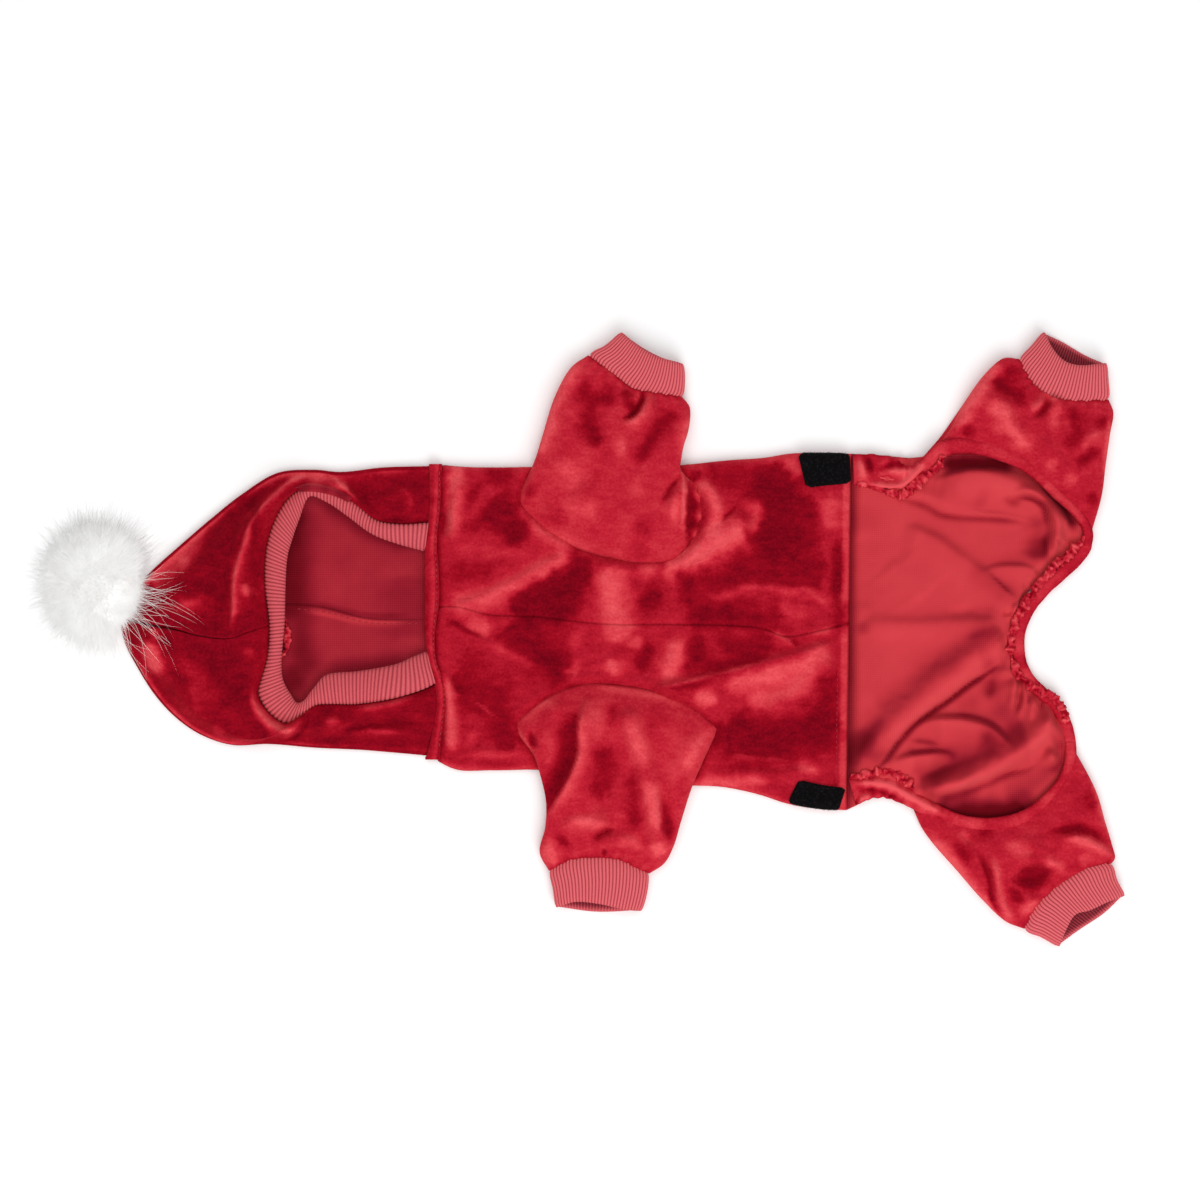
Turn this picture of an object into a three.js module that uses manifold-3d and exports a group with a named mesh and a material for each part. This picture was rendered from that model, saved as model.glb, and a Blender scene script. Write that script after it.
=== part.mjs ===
// A hooded dog costume in velour with rib-knit trims and a fur pompom, laid out on its back.
// Lengths are in millimetres. +X runs to the tail, +Y to the dog's left side, and +Z is up from
// the surface that the garment lies on, so the belly pieces are uppermost.

import * as THREE from "three";
import { mergeVertices } from "three/addons/utils/BufferGeometryUtils.js";
import Module from "manifold-3d";

const wasm = await Module();
wasm.setup();

// ---- driving dimensions ----
const CLOTH = 1.8; // velour, with its knit backing
const RIB = 2.6; // rib knit, doubled at every trim
const SEAM_GAP = 0.3; // between two pieces that are sewn together
const BELLY_TOP = 7; // outer face of the belly pieces over the surface
const SIDE_RADIUS = 4.6; // how round the belly pieces turn down at the sides
const HOOD_FOLD = 2.4; // radius of the fold round the hood's edge
const LIP_HEIGHT = 10; // velour edge where the rib is sewn round the face
const BINDING_HEIGHT = 4.6; // elastic casing with its gathered cloth
const NECK_CASING = 2.8; // the rolled casing round the neck, elastic and all
const TAPE = 1.6; // hook-and-loop tape
const NECK_X = -78.2; // where the belly and back pieces start, behind the neck band
const HEM_X = 146; // belly hem at the dog's left side
const HEM_SLANT = 0.0125; // how much the hem leans forward for each millimetre to the right
const TUBE_SQUARENESS = 3; // 2 is an ellipse, more is flatter with rounder sides
const NECK_SQUARENESS = 5;
const CUFF_SEAM = { sleeve: 0.7, leg: 1.1 }; // from the end of a limb to its cuff
const CUT_PAST = 0.25; // what an armhole clears beyond the seam gap, for the facets of both edges
const UNDER_CUT_PAST = 0.4; // the same where a limb meets the back piece
const RIB_CLEARANCE = 1.1; // from the hood's cut edge to the rib, beyond the seam gap
const RIB_CROWN = 1.2; // how far the rib round the face bulges between its two edges
const TAPE_LIFT = 0.45; // under the hook-and-loop squares, over the cloth that they are sewn to
const HOOD_SLOPE = 22; // how far in from its folded edge the hood reaches its full height
const UNDER_LAYER_TOP = 1.85; // top of the layer that lies on the surface
const FOLD_END = 0.35; // how much of a fold's height is left at its two ends
const LIMB_CALM = 0.15; // share of a limb, from its seams, over which its folds fade
const REAR_CALM = [0.02, 0.2]; // shares of the rear, from its elastic edges, over which its folds fade
const LIP_REACH = 5; // how far from the face seam the hood's lip goes over into the crown
const POMPOM_CUT_FROM = 0.72; // share of the hood's edges, to its tip, that the pompom is cut back from

/** How many facets run along each piece, or along a line that something is cut by. */
const FACETS = {
  ring: 20, limb: 6, cuff: 2, belly: 14, body: 7, rear: 12, backAcross: 12, hood: 11, rib: 30, tape: 5,
  binding: 8, neckRing: 20, cuffEdge: 10, armholeSide: 3, face: 26, crown: 12, tip: 8,
  ballRound: 16, ballUp: 8,
};

const MATERIALS = {
  velour: { color: 0xa3142a, roughness: 0.7 },
  knit: { color: 0xc23a48, roughness: 0.9 },
  rib: { color: 0xd2535c, roughness: 0.9 },
  fur: { color: 0xf4f2f0, roughness: 0.95 },
  tape: { color: 0x101012, roughness: 0.95 },
};

/** Rows of numbers as records, one for each row, under the names of the columns. */
const table = (columns, ...rows) =>
  rows.map((row) => Object.fromEntries(columns.split(" ").map((name, i) => [name, row[i]])));

// ---- body: its sides and belly seam at stations from neck to hem ----
const BODY = table("x left seam right",
  [-80, 95.5, 17, -67], [-70, 94.5, 17.5, -72], [-50, 94, 13, -73], [-25, 94.3, 12, -72.7],
  [10, 94.5, 8, -76], [50, 95, 7.5, -81], [80, 98, 7, -82.5], [100, 99.5, 5, -87],
  [112, 101.5, 1, -91], [128, 102, 4, -94], [147, 101.5, 8.5, -95]);

// Soft folds in the belly: each runs from one end to the other, `wide` across, `high` at its crest.
const BELLY_FOLDS = table("x0 y0 x1 y1 wide high",
  [75, -32, 138, -6, 9, 2], [50, 47, 100, 68, 11, 1.8], [118, 2, 140, 8, 6, 1.6],
  [-72, -28, -45, -47, 8, 1.4], [2, 44, -42, 14, 9, -0.9], [5, -18, 22, 40, 14, 1.2]);

// ---- rear of the back piece, inside up ----
const TAIL_EDGE = table("x y",
  [264, -52], [262, -42], [254, -32.5], [244, -27], [237, -20], [233.5, -8], [234, 2], [238, 16],
  [245, 27], [255, 38], [265, 47], [277, 56]);
const REAR_LEFT = table("x y",
  [146, 101.5], [165, 100.5], [178, 99], [192, 95], [215, 82], [245, 70], [277, 56]);
const REAR_RIGHT = table("x y",
  [143.6, -95], [157, -89.5], [170, -92], [185, -92], [212, -82], [240, -72], [264, -52]);
const REAR_FOLDS = table("x0 y0 x1 y1 wide high",
  [160, -66, 226, -16, 7, 3.6], [188, -84, 246, -62, 7, 2.8], [190, -46, 236, -56, 5, 2.2],
  [196, 54, 236, 24, 6, 2.8], [218, 44, 250, 40, 5, 2], [165, 70, 200, 78, 7, 1.6]);

// ---- tubes: the ring where each is sewn in, its two sides and the ring at its far end, and the
// soft folds over its upper layer ----
const SLEEVE_LEFT = {
  side: "left",
  top: table("x y", [-36, 82], [-36, 73], [-28, 64], [-13, 53], [10, 44.5], [34, 41.2], [52, 44.5],
    [61, 56], [64, 70], [62, 84]),
  under: table("x y", [-36, 82], [-30, 86], [-20, 90], [5, 90.5], [36, 90.5], [47, 88.5], [54, 84.8],
    [62, 84]),
  left: table("x y", [-36, 82], [-31, 91], [-27, 101], [-24, 111], [-17, 133], [-8, 149], [1, 155.5]),
  right: table("x y", [62, 84], [54, 90], [51, 97], [53, 104], [56.5, 115], [57, 127], [53, 132.5]),
  endTop: table("x y", [1, 155.5], [9, 149.5], [17, 143.5], [26, 137], [38, 134.8], [53, 132.5]),
  endUnder: table("x y", [1, 155.5], [27, 147], [53, 132.5]),
  height: table("at rise", [0, 7.4], [0.12, 13], [0.45, 15], [0.8, 13.5], [1, 11]),
  folds: table("x0 y0 x1 y1 wide high",
    [52, 84, 22, 66, 9, -2.2], [24, 134, 20, 112, 6, -1.8], [-8, 96, 24, 92, 14, 1.8]),
};
const SLEEVE_RIGHT = {
  side: "right",
  top: table("x y", [-37, -54], [-38, -47], [-30, -39], [-15, -29.5], [0, -25.2], [20, -26.3],
    [40, -30], [58, -38], [73, -50]),
  under: table("x y", [-37, -54], [-31, -54.5], [-24, -61], [-14, -68.5], [10, -71.5], [38, -73.5],
    [52, -70], [61, -59], [66, -51.5], [73, -50]),
  left: table("x y", [-37, -54], [-29, -64], [-25.5, -74], [-22, -90], [-22.5, -104], [-25.5, -118],
    [-20.5, -128]),
  right: table("x y", [73, -50], [68, -60], [59, -80], [52.5, -100], [48, -115], [43, -124],
    [35, -129.5]),
  endTop: table("x y", [-20.5, -128], [-8, -121.7], [5, -120.5], [18, -121.7], [27, -126], [35, -129.5]),
  endUnder: table("x y", [-20.5, -128], [6, -131], [35, -129.5]),
  height: table("at rise", [0, 7.4], [0.12, 13], [0.45, 15], [0.8, 13.5], [1, 11]),
  folds: table("x0 y0 x1 y1 wide high",
    [3, -38, -14, -92, 9, 2.4], [-14, -48, -20, -86, 7, -1.6], [32, -48, 38, -108, 10, 2],
    [12, -98, 6, -118, 7, -1.8]),
};
const LEG_LEFT = {
  side: "left",
  top: table("x y", [197, 109.5], [209, 108.2], [225, 106], [240, 102], [251, 92], [262, 79.5],
    [272, 72.5], [281, 60]),
  under: table("x y", [197, 109.5], [187, 101], [183.8, 92], [184.5, 82], [191, 73.5], [205, 68.5],
    [235, 65], [258, 59], [281, 60]),
  left: table("x y", [197, 109.5], [202, 117], [211, 134], [221, 147], [230, 154], [238, 153.5]),
  right: table("x y", [281, 60], [284, 78], [285.5, 95], [288, 112], [290, 124], [287.5, 131]),
  endTop: table("x y", [238, 153.5], [246, 139.5], [256, 132.7], [267, 130.6], [287.5, 131]),
  endUnder: table("x y", [238, 153.5], [264, 147], [287.5, 131]),
  height: table("at rise", [0, 9], [0.3, 13.5], [0.75, 13], [1, 10.5]),
  folds: table("x0 y0 x1 y1 wide high",
    [232, 118, 250, 140, 8, -1.8], [262, 98, 268, 128, 9, 1.8]),
};
const LEG_RIGHT = {
  side: "right",
  top: table("x y", [181, -96], [190, -96.5], [198, -100.5], [206, -105.5], [218, -108], [231, -107.2],
    [243, -103.5], [252, -95.5], [261, -88.5], [268, -82], [271.5, -62]),
  under: table("x y", [181, -96], [178.5, -87], [184, -77.5], [200, -71], [225, -68], [248, -63],
    [271.5, -62]),
  left: table("x y", [181, -96], [184.5, -104], [190, -112], [204, -128], [218, -144], [231, -156],
    [241, -160]),
  right: table("x y", [271.5, -62], [276, -73], [281, -86], [285, -100], [289, -113], [291, -121],
    [289, -124]),
  endTop: table("x y", [241, -160], [247, -148], [256, -138.5], [268, -130], [278, -125.3], [289, -124]),
  endUnder: table("x y", [241, -160], [269, -148], [289, -124]),
  height: table("at rise", [0, 9], [0.3, 13.5], [0.75, 13], [1, 10.5]),
  folds: table("x0 y0 x1 y1 wide high",
    [216, -110, 232, -152, 7, -2], [252, -104, 286, -114, 8, 2], [238, -126, 258, -132, 8, -2]),
};

// ---- cuffs: rib tubes from the end of each limb to their open mouths ----
const CUFF_HEIGHT = table("at rise", [0, 11.5], [0.5, 13], [1, 13.5]);
const SLEEVE_CUFF_LEFT = {
  left: table("x y", [3, 157], [10.5, 161], [19, 168.5]),
  right: table("x y", [53.6, 134], [54.5, 142], [54, 150.5]),
  mouthTop: table("x y", [19, 168.5], [24, 164], [31, 158.5], [40, 154], [54, 150.5]),
  mouthUnder: table("x y", [19, 168.5], [37, 160], [54, 150.5]),
};
const SLEEVE_CUFF_RIGHT = {
  left: table("x y", [-20, -130], [-18.3, -138], [-17, -148]),
  right: table("x y", [34.6, -131.5], [33.5, -141], [31, -150]),
  mouthTop: table("x y", [-17, -148], [-6, -144.5], [8, -145.7], [20, -148.5], [31, -150]),
  mouthUnder: table("x y", [-17, -148], [6, -151], [31, -150]),
};
const LEG_CUFF_LEFT = {
  left: table("x y", [239.5, 155], [245, 161], [251, 168.5]),
  right: table("x y", [287.7, 132.5], [287.2, 142], [286.5, 151]),
  mouthTop: table("x y", [251, 168.5], [255.5, 159], [262, 152], [270, 149.5], [286.5, 151]),
  mouthUnder: table("x y", [251, 168.5], [262, 163.5], [275, 156], [286.5, 151]),
};
const LEG_CUFF_RIGHT = {
  left: table("x y", [242.5, -161.5], [250, -164.5], [259.5, -170]),
  right: table("x y", [289.8, -125.5], [292, -133], [296.5, -141]),
  mouthTop: table("x y", [259.5, -170], [263, -160], [268, -151.5], [276, -149], [286, -144.5],
    [296.5, -141]),
  mouthUnder: table("x y", [259.5, -170], [272, -161], [286, -151.5], [296.5, -141]),
};

// ---- hood: its folded edge, and the rib round the face from the left throat to the right ----
const HOOD_EDGE_LEFT = table("x y",
  [-90.5, 94.8], [-112, 94], [-135, 91.5], [-150, 92.7], [-170, 91], [-190, 79], [-207, 65.5],
  [-225, 50], [-240, 36.5], [-251, 25], [-256.6, 12.2]);
const HOOD_EDGE_RIGHT = table("x y",
  [-90.5, -65], [-120, -62], [-150, -60.5], [-175, -58.5], [-195, -59], [-212, -53.5], [-226, -44],
  [-238, -31], [-248, -15], [-255, -1], [-257, 11]);
const CROWN_SEAM = table("x y",
  [-173.5, 7], [-184, 3.5], [-195, -0.3], [-210, 1], [-225, 4.5], [-242, 7.5], [-257, 11]);
const PAST_TIP = { x: -262, y: 12 }; // the crown seam's line carried on beyond the hood's tip
const NAPE_SEAM = table("x y", [-90.5, 10.5], [-120, 11], [-145, 17], [-165, 19], [-205, 16], [-248, 11.6]);
const HOOD_HEIGHT = table("at crown lip", [0, 8, 7.5], [0.2, 11, 9.5], [0.5, 15, 10], [1, 18, 10]);
const FACE_RIB = table("seamX seamY edgeX edgeY edgeZ",
  [-91, 63.5, -91, 47.5, 6], [-105, 62.5, -104, 51.5, 7], [-117, 65.5, -118, 57.5, 8],
  [-130, 76.5, -131, 67, 8], [-142, 82, -142, 74.5, 9], [-152, 83.5, -152, 77.5, 10],
  [-162, 78, -157.5, 65, 9], [-170, 66, -161, 55, 9], [-175, 50, -164, 44, 9],
  [-176, 30, -165, 28, 9], [-173.5, 7, -165.5, 8, 9], [-174.5, -10, -167, -9, 9],
  [-178, -23, -167, -19, 9], [-179.5, -31, -165.5, -25, 9], [-174, -40.5, -162, -31, 9],
  [-165, -46.5, -158.5, -35.5, 9], [-157, -42.6, -153.5, -33.5, 9], [-149, -37, -149, -27, 8],
  [-140, -36.3, -142, -20, 7], [-125, -36.3, -125, -18.2, 7], [-110, -34, -108, -15, 6],
  [-99, -29.5, -98, -10, 6], [-91, -25, -91, -7, 6]);
const CROWN_ROW = 10; // the row of FACE_RIB where the crown seam meets the rib

// ---- neck band: a rolled casing all round the neck ----
const NECK_BAND = table("x left right rise",
  [-90, 95.5, -66, 8.2], [-87.5, 96.5, -67, 9.4], [-82, 96.5, -68, 9.4], [-78.6, 95.5, -68.5, 8.2]);

// ---- elastic casings: the middle of each, its width, and the height of its middle ----
const TAIL_BINDING = table("x y z wide",
  [268, -56, 4.5, 6], [265.6, -44, 4.5, 6], [257, -34.5, 4.5, 6], [246, -29.5, 4.5, 6],
  [240.5, -21.5, 4.5, 7], [237.5, -8, 4.5, 7], [238.2, 3, 4.5, 7], [242.5, 15, 4.5, 7],
  [249.5, 26, 4.5, 7], [259, 36, 4.5, 6.5], [268.5, 44.5, 4.5, 6.5], [279.5, 54, 4.5, 6.5]);
const LEG_BINDING_LEFT = table("x y z wide",
  [147, 92, 4.8, 16], [158, 92.5, 4.8, 17], [168, 91, 4.8, 17], [176, 88.5, 5, 15],
  [183, 90.5, 5.4, 10], [189.5, 97, 6.2, 8], [198, 103.6, 7, 7], [209, 103.8, 7, 7],
  [225, 100.8, 7, 7], [237, 96.8, 7, 7], [247, 88.6, 7, 6.5], [258, 76.8, 7, 6], [269, 69.6, 7, 6],
  [275.2, 60.4, 6.8, 6]);
const LEG_BINDING_RIGHT = table("x y z wide",
  [146.4, -84.6, 4.8, 15], [156, -82.5, 4.8, 14], [166, -82, 4.8, 14], [176, -83.2, 5.3, 10],
  [185, -89.5, 5.4, 9], [194, -94, 6.4, 8], [202.3, -97.6, 7, 7.5], [212, -101.6, 7, 7.5],
  [222, -102.4, 7, 7.5], [232.5, -100.6, 7, 7.5], [241.5, -96.6, 7, 7], [251, -88.8, 7, 6.5],
  [260.5, -83, 7, 6.5], [264.6, -76, 6.8, 6.5], [266.4, -64.6, 6.8, 6]);

// ---- hook-and-loop squares on the belly's corners ----
// `inset` is measured in from the side; the first two corners are the outer ones.
const PATCH_LEFT = table("x inset", [116.5, 0.9], [145, 0.9], [145.6, 16.5], [121, 19.5]);
const PATCH_RIGHT = table("x inset", [111, 0.9], [139, 0.9], [142.8, 12.5], [117, 14.5]);
const PATCH_SHARES = [0, 0.04, 0.1, 0.22, 0.6, 1]; // across, finer where the side turns down

// ---- pompom ----
const POMPOM = { x: -262, y: 31, z: 28.6, reachX: 34, reachY: 38, reachZ: 28.4 };
const POMPOM_SEAT = { height: 17, margin: 1.2 }; // the hollow in its underside where the hood's tip sits

// ---- curves and surfaces ----
const vec = (x, y, z = 0) => new THREE.Vector3(x, y, z);
const mix = (a, b, t) => a.clone().lerp(b, t);
const steps = (count, from = 0, to = 1) =>
  Array.from({ length: count + 1 }, (_, i) => from + ((to - from) * i) / count);

/** A smooth line through the rows' points, measured from 0 to 1 along its length. */
function line(rows) {
  const points = rows.map(({ x, y, z = 0 }) => vec(x, y, z));
  const curve = new THREE.CatmullRomCurve3(points, false, "centripetal");
  return (t) => curve.getPointAt(THREE.MathUtils.clamp(t, 0, 1));
}

/** The value of one column of a table at `x`, smooth between its rows. */
function column(rows, key, name, x) {
  const last = rows.length - 2;
  const found = rows.findIndex((row, k) => k <= last && x <= rows[k + 1][key]);
  const i = found < 0 ? last : found;
  const slope = (a, b) => (rows[b][name] - rows[a][name]) / (rows[b][key] - rows[a][key]);
  const span = rows[i + 1][key] - rows[i][key];
  const start = i > 0 ? slope(i - 1, i + 1) : slope(i, i + 1);
  const end = i < last ? slope(i, i + 2) : slope(i, i + 1);
  const t = THREE.MathUtils.clamp((x - rows[i][key]) / span, 0, 1);
  const h = t * t * (3 - 2 * t);
  return rows[i][name] * (1 - h) + rows[i + 1][name] * h
    + span * t * (1 - t) * (start * (1 - t) - end * t);
}

/** The patch between four lines: near and far run across, left and right run along. */
function patch(near, far, left, right) {
  return (across, along) => {
    const ruled = mix(left(along), right(along), across);
    const crossed = mix(near(across), far(across), along);
    const corners = mix(mix(near(0), near(1), across), mix(far(0), far(1), across), along);
    return ruled.add(crossed).sub(corners);
  };
}

const straight = (a, b) => (t) => mix(a, b, t);

/** Angles evenly round a ring. */
const aroundRing = (count) => steps(count - 1, 0, 2 * Math.PI * (1 - 1 / count));

/** Squares off a circle's sine or cosine: 2 leaves it round. */
const rounded = (squareness) => (value) => Math.sign(value) * Math.abs(value) ** (2 / squareness);

/** How far the folds of a table lift the cloth at a place. */
function lift(folds, x, y) {
  return folds.reduce((sum, { x0, y0, x1, y1, wide, high }) => {
    const run = vec(x1 - x0, y1 - y0);
    const away = vec(x - x0, y - y0);
    const t = THREE.MathUtils.clamp(away.dot(run) / run.lengthSq(), 0, 1);
    const off = away.addScaledVector(run, -t).length();
    const taper = FOLD_END + (1 - FOLD_END) * Math.sin(Math.PI * t);
    return sum + high * taper * Math.exp(-((off / wide) ** 2));
  }, 0);
}

/** A closed body from a grid of points, reaching from `low` to `high` along the grid's normals. */
function wall(rows, low, high, ring = false) {
  const count = rows[0].length;
  const faces = [];
  for (let i = 0; i + 1 < rows.length; i += 1) {
    for (let j = 0; j + (ring ? 0 : 1) < count; j += 1) {
      const [a, b] = [i * count + j, i * count + ((j + 1) % count)];
      faces.push([a, a + count, b + count], [a, b + count, b]);
    }
  }
  const sheet = new THREE.BufferGeometry().setFromPoints(rows.flat());
  sheet.setIndex(faces.flat());
  sheet.computeVertexNormals();
  const normals = sheet.getAttribute("normal");
  const moved = (distance) => rows.flat().map((point, i) =>
    point.clone().addScaledVector(vec().fromBufferAttribute(normals, i), distance));
  const under = rows.length * count;
  const edges = new Set(faces.flatMap(([a, b, c]) => [`${a},${b}`, `${b},${c}`, `${c},${a}`]));
  const rim = [...edges].map((edge) => edge.split(",").map(Number))
    .filter(([a, b]) => !edges.has(`${b},${a}`));
  const closed = new THREE.BufferGeometry().setFromPoints([...moved(high), ...moved(low)]);
  closed.setIndex([
    ...faces.flat(),
    ...faces.flatMap(([a, b, c]) => [a + under, c + under, b + under]),
    ...rim.flatMap(([a, b]) => [b, a, a + under, b, a + under, b + under]),
  ]);
  return closed;
}

const NEARBY = 0.004; // share of a path that its direction is taken over

/** A solid strip with a rounded section along the rows of a table. */
function strip(rows, height) {
  const path = line(rows);
  const count = 2 * (rows.length - 1);
  const sides = FACETS.binding;
  const rings = steps(count).map((t) => {
    const middle = path(t);
    const along = path(t + NEARBY).sub(path(t - NEARBY)).setZ(0).normalize();
    const wide = widthAlong(rows, t);
    return aroundRing(sides).map((angle) => middle.clone()
      .add(vec(along.y, -along.x).multiplyScalar((Math.cos(angle) * wide) / 2))
      .add(vec(0, 0, (Math.sin(angle) * height) / 2)));
  });
  const points = rings.flat();
  const end = count * sides;
  const index = [];
  for (let i = 0; i < count; i += 1) {
    for (let j = 0; j < sides; j += 1) {
      const [a, b] = [i * sides + j, i * sides + ((j + 1) % sides)];
      index.push(a, a + sides, b, b, a + sides, b + sides);
    }
  }
  for (let j = 1; j + 1 < sides; j += 1) index.push(0, j, j + 1, end, end + j + 1, end + j);
  const geometry = new THREE.BufferGeometry().setFromPoints(points);
  geometry.setIndex(index);
  return geometry;
}

/** The `wide` column of a strip's table at a share of its length. */
function widthAlong(rows, t) {
  const place = t * (rows.length - 1);
  const i = Math.min(Math.floor(place), rows.length - 2);
  return THREE.MathUtils.lerp(rows[i].wide, rows[i + 1].wide, place - i);
}

// ---- booleans ----
const BELOW = -2; // cutting plugs start here, under everything
const ABOVE = 40; // and end here, over everything but the pompom
const BACK_ABOVE = 2.5; // over the back piece, and under the limbs' upper layers
const FACE_LOW = 2.6; // over the hood's lower layer
const BEYOND = 60; // how far a plug reaches past the limbs
const HOOD_BEYOND = 90; // how far a plug reaches past the hood's side

function solid(geometry) {
  const bare = geometry.clone();
  bare.deleteAttribute("normal");
  bare.deleteAttribute("uv");
  const merged = mergeVertices(bare, 1e-4);
  return new wasm.Manifold(new wasm.Mesh({
    numProp: 3,
    vertProperties: new Float32Array(merged.getAttribute("position").array),
    triVerts: new Uint32Array(merged.getIndex().array),
  }));
}

function geometryOf(body) {
  const mesh = body.getMesh();
  const geometry = new THREE.BufferGeometry();
  geometry.setAttribute("position", new THREE.BufferAttribute(mesh.vertProperties, 3));
  geometry.setIndex([...mesh.triVerts]);
  return geometry;
}

/** A tall plug over an outline in plan, between two heights. */
function plug(points, low, high) {
  const shape = new THREE.Shape(points.map(({ x, y }) => new THREE.Vector2(x, y)));
  const geometry = new THREE.ExtrudeGeometry(shape, { depth: high - low, bevelEnabled: false });
  return solid(geometry.translate(0, 0, low));
}

const cut = (geometry, ...plugs) =>
  geometryOf(plugs.reduce((body, tool) => body.subtract(tool), solid(geometry)));

/** The points of an open outline, moved sideways to its left by a distance in plan. */
function beside(points, distance) {
  return points.map((point, i) => {
    const before = points[Math.max(i - 1, 0)];
    const after = points[Math.min(i + 1, points.length - 1)];
    const way = vec(after.x - before.x, after.y - before.y).normalize();
    return vec(point.x - way.y * distance, point.y + way.x * distance);
  });
}

// ---- limbs ----
/** The rings of a flattened tube between its two sides, from the ring where it is sewn in. */
function tubeRings(limb, count) {
  const left = line(limb.left);
  const right = line(limb.right);
  const layers = {
    top: patch(line(limb.top), line(limb.endTop), left, right),
    under: patch(line(limb.under), line(limb.endUnder), left, right),
  };
  return steps(count).map((along) => aroundRing(FACETS.ring)
    .map((angle) => {
      const round = rounded(TUBE_SQUARENESS);
      const across = (1 - round(Math.cos(angle))) / 2;
      const layer = Math.sin(angle) > -1e-9 ? layers.top : layers.under;
      const half = column(limb.height, "at", "rise", along) / 2;
      const point = layer(across, along);
      const calm = THREE.MathUtils.smoothstep(Math.min(across, 1 - across, along), 0, LIMB_CALM);
      const fold = layer === layers.top ? calm * lift(limb.folds ?? [], point.x, point.y) : 0;
      return point.setZ(half + half * round(Math.sin(angle)) + fold);
    }));
}

/** A tube's wall: rings that run to the dog's left are taken in reverse, so that it faces out. */
function tube(data, count, thickness) {
  const rings = tubeRings(data, count);
  return wall(data.side === "left" ? rings.reverse() : rings, -thickness, 0, true);
}

/** A cuff that starts `gap` beyond the end of its limb. */
function cuff(arm, data, gap) {
  const aside = arm.side === "left" ? gap : -gap;
  const start = (rows) => beside(steps(FACETS.cuffEdge).map(line(rows)), aside);
  const fit = (rows) => {
    const points = start(rows);
    points[0] = vec(data.left[0].x, data.left[0].y);
    points[points.length - 1] = vec(data.right[0].x, data.right[0].y);
    return points;
  };
  return tube({
    side: arm.side,
    top: fit(arm.endTop),
    under: fit(arm.endUnder),
    left: data.left,
    right: data.right,
    endTop: data.mouthTop,
    endUnder: data.mouthUnder,
    height: CUFF_HEIGHT,
  }, FACETS.cuff, RIB);
}

// ---- body pieces ----
const hemX = (y) => HEM_X - HEM_SLANT * (BODY.at(-1).left - y);

/** A place on the outer face of a belly piece: `inset` is the distance from its side. */
function bellyPoint(x, y, inset) {
  const drop = inset < SIDE_RADIUS
    ? SIDE_RADIUS - Math.sqrt(SIDE_RADIUS ** 2 - (SIDE_RADIUS - inset) ** 2) : 0;
  const calm = THREE.MathUtils.smoothstep(inset, SIDE_RADIUS, 3 * SIDE_RADIUS);
  return vec(x, y, BELLY_TOP - drop + calm * lift(BELLY_FOLDS, x, y));
}

const SIDE_INSETS = [0, 0.5, 1.6, SIDE_RADIUS, 14]; // finer where the side turns down

function bellyPiece(side, sleeve) {
  const rows = steps(FACETS.belly).map((along) => {
    const nominal = THREE.MathUtils.lerp(NECK_X, HEM_X, along);
    const seam = column(BODY, "x", "seam", nominal);
    const edge = column(BODY, "x", side, nominal);
    const width = Math.abs(edge - seam) - SEAM_GAP / 2;
    const across = [...SIDE_INSETS, ...steps(4, SIDE_INSETS.at(-1), width).slice(1)];
    const points = across.map((inset) => {
      const y = side === "left" ? edge - inset : edge + inset;
      return bellyPoint(THREE.MathUtils.lerp(NECK_X, hemX(y), along), y, inset);
    });
    return side === "left" ? points.reverse() : points;
  });
  return cut(wall(rows, -CLOTH, 0), armholePlug(sleeve, side));
}

const ALONG_SIDES = [0.45, 0.09]; // the stretch of a sleeve's sides that its armhole is cut along

/** The armhole: the first ring's upper half and the sleeve's two sides, a seam's gap outside. */
function armholePlug(sleeve, side) {
  const outward = side === "left" ? 1 : -1;
  const ring = tubeRings(sleeve, 1)[0].slice(0, FACETS.ring / 2 + 1);
  const sides = [sleeve.left, sleeve.right].map((rows) => line(rows));
  const points = [
    ...steps(FACETS.armholeSide, ...ALONG_SIDES).map(sides[0]),
    ...ring,
    ...steps(FACETS.armholeSide, ...ALONG_SIDES.toReversed()).map(sides[1]),
  ];
  return plug(beside(points, -outward * (SEAM_GAP + CUT_PAST)), BELOW, ABOVE);
}

function backPiece() {
  const body = steps(FACETS.body).map((along) => steps(FACETS.backAcross).map((across) => {
    const x = THREE.MathUtils.lerp(NECK_X, HEM_X, along);
    const y = THREE.MathUtils.lerp(column(BODY, "x", "right", x), column(BODY, "x", "left", x), across);
    return vec(THREE.MathUtils.lerp(NECK_X, hemX(y), along), y);
  }));
  const near = straight(vec(REAR_RIGHT[0].x, REAR_RIGHT[0].y), vec(REAR_LEFT[0].x, REAR_LEFT[0].y));
  const rear = patch(near, line(TAIL_EDGE), line(REAR_RIGHT), line(REAR_LEFT));
  const rows = steps(FACETS.rear).slice(1).map((along) => steps(FACETS.backAcross).map((across) => {
    const point = rear(across, along);
    const held = THREE.MathUtils.smoothstep(Math.min(across, 1 - across, 1 - along), ...REAR_CALM);
    return point.setZ(held * lift(REAR_FOLDS, point.x, point.y));
  }));
  return cut(wall([...body, ...rows], 0, CLOTH),
    ...[SLEEVE_LEFT, SLEEVE_RIGHT, LEG_LEFT, LEG_RIGHT].map(underPlug));
}

/** The region beyond a limb's lower seam, a seam's gap outside its cloth. */
function underPlug(limb) {
  const ring = tubeRings(limb, 1)[0];
  const points = [...ring.slice(FACETS.ring / 2), ring[0]];
  const outward = limb.side === "left" ? 1 : -1;
  const moved = beside(points, outward * (SEAM_GAP + UNDER_CUT_PAST));
  const reach = outward * BEYOND;
  return plug([...moved, vec(moved.at(-1).x, moved.at(-1).y + reach),
    vec(moved[0].x, moved[0].y + reach)], BELOW, BACK_ABOVE);
}

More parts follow.
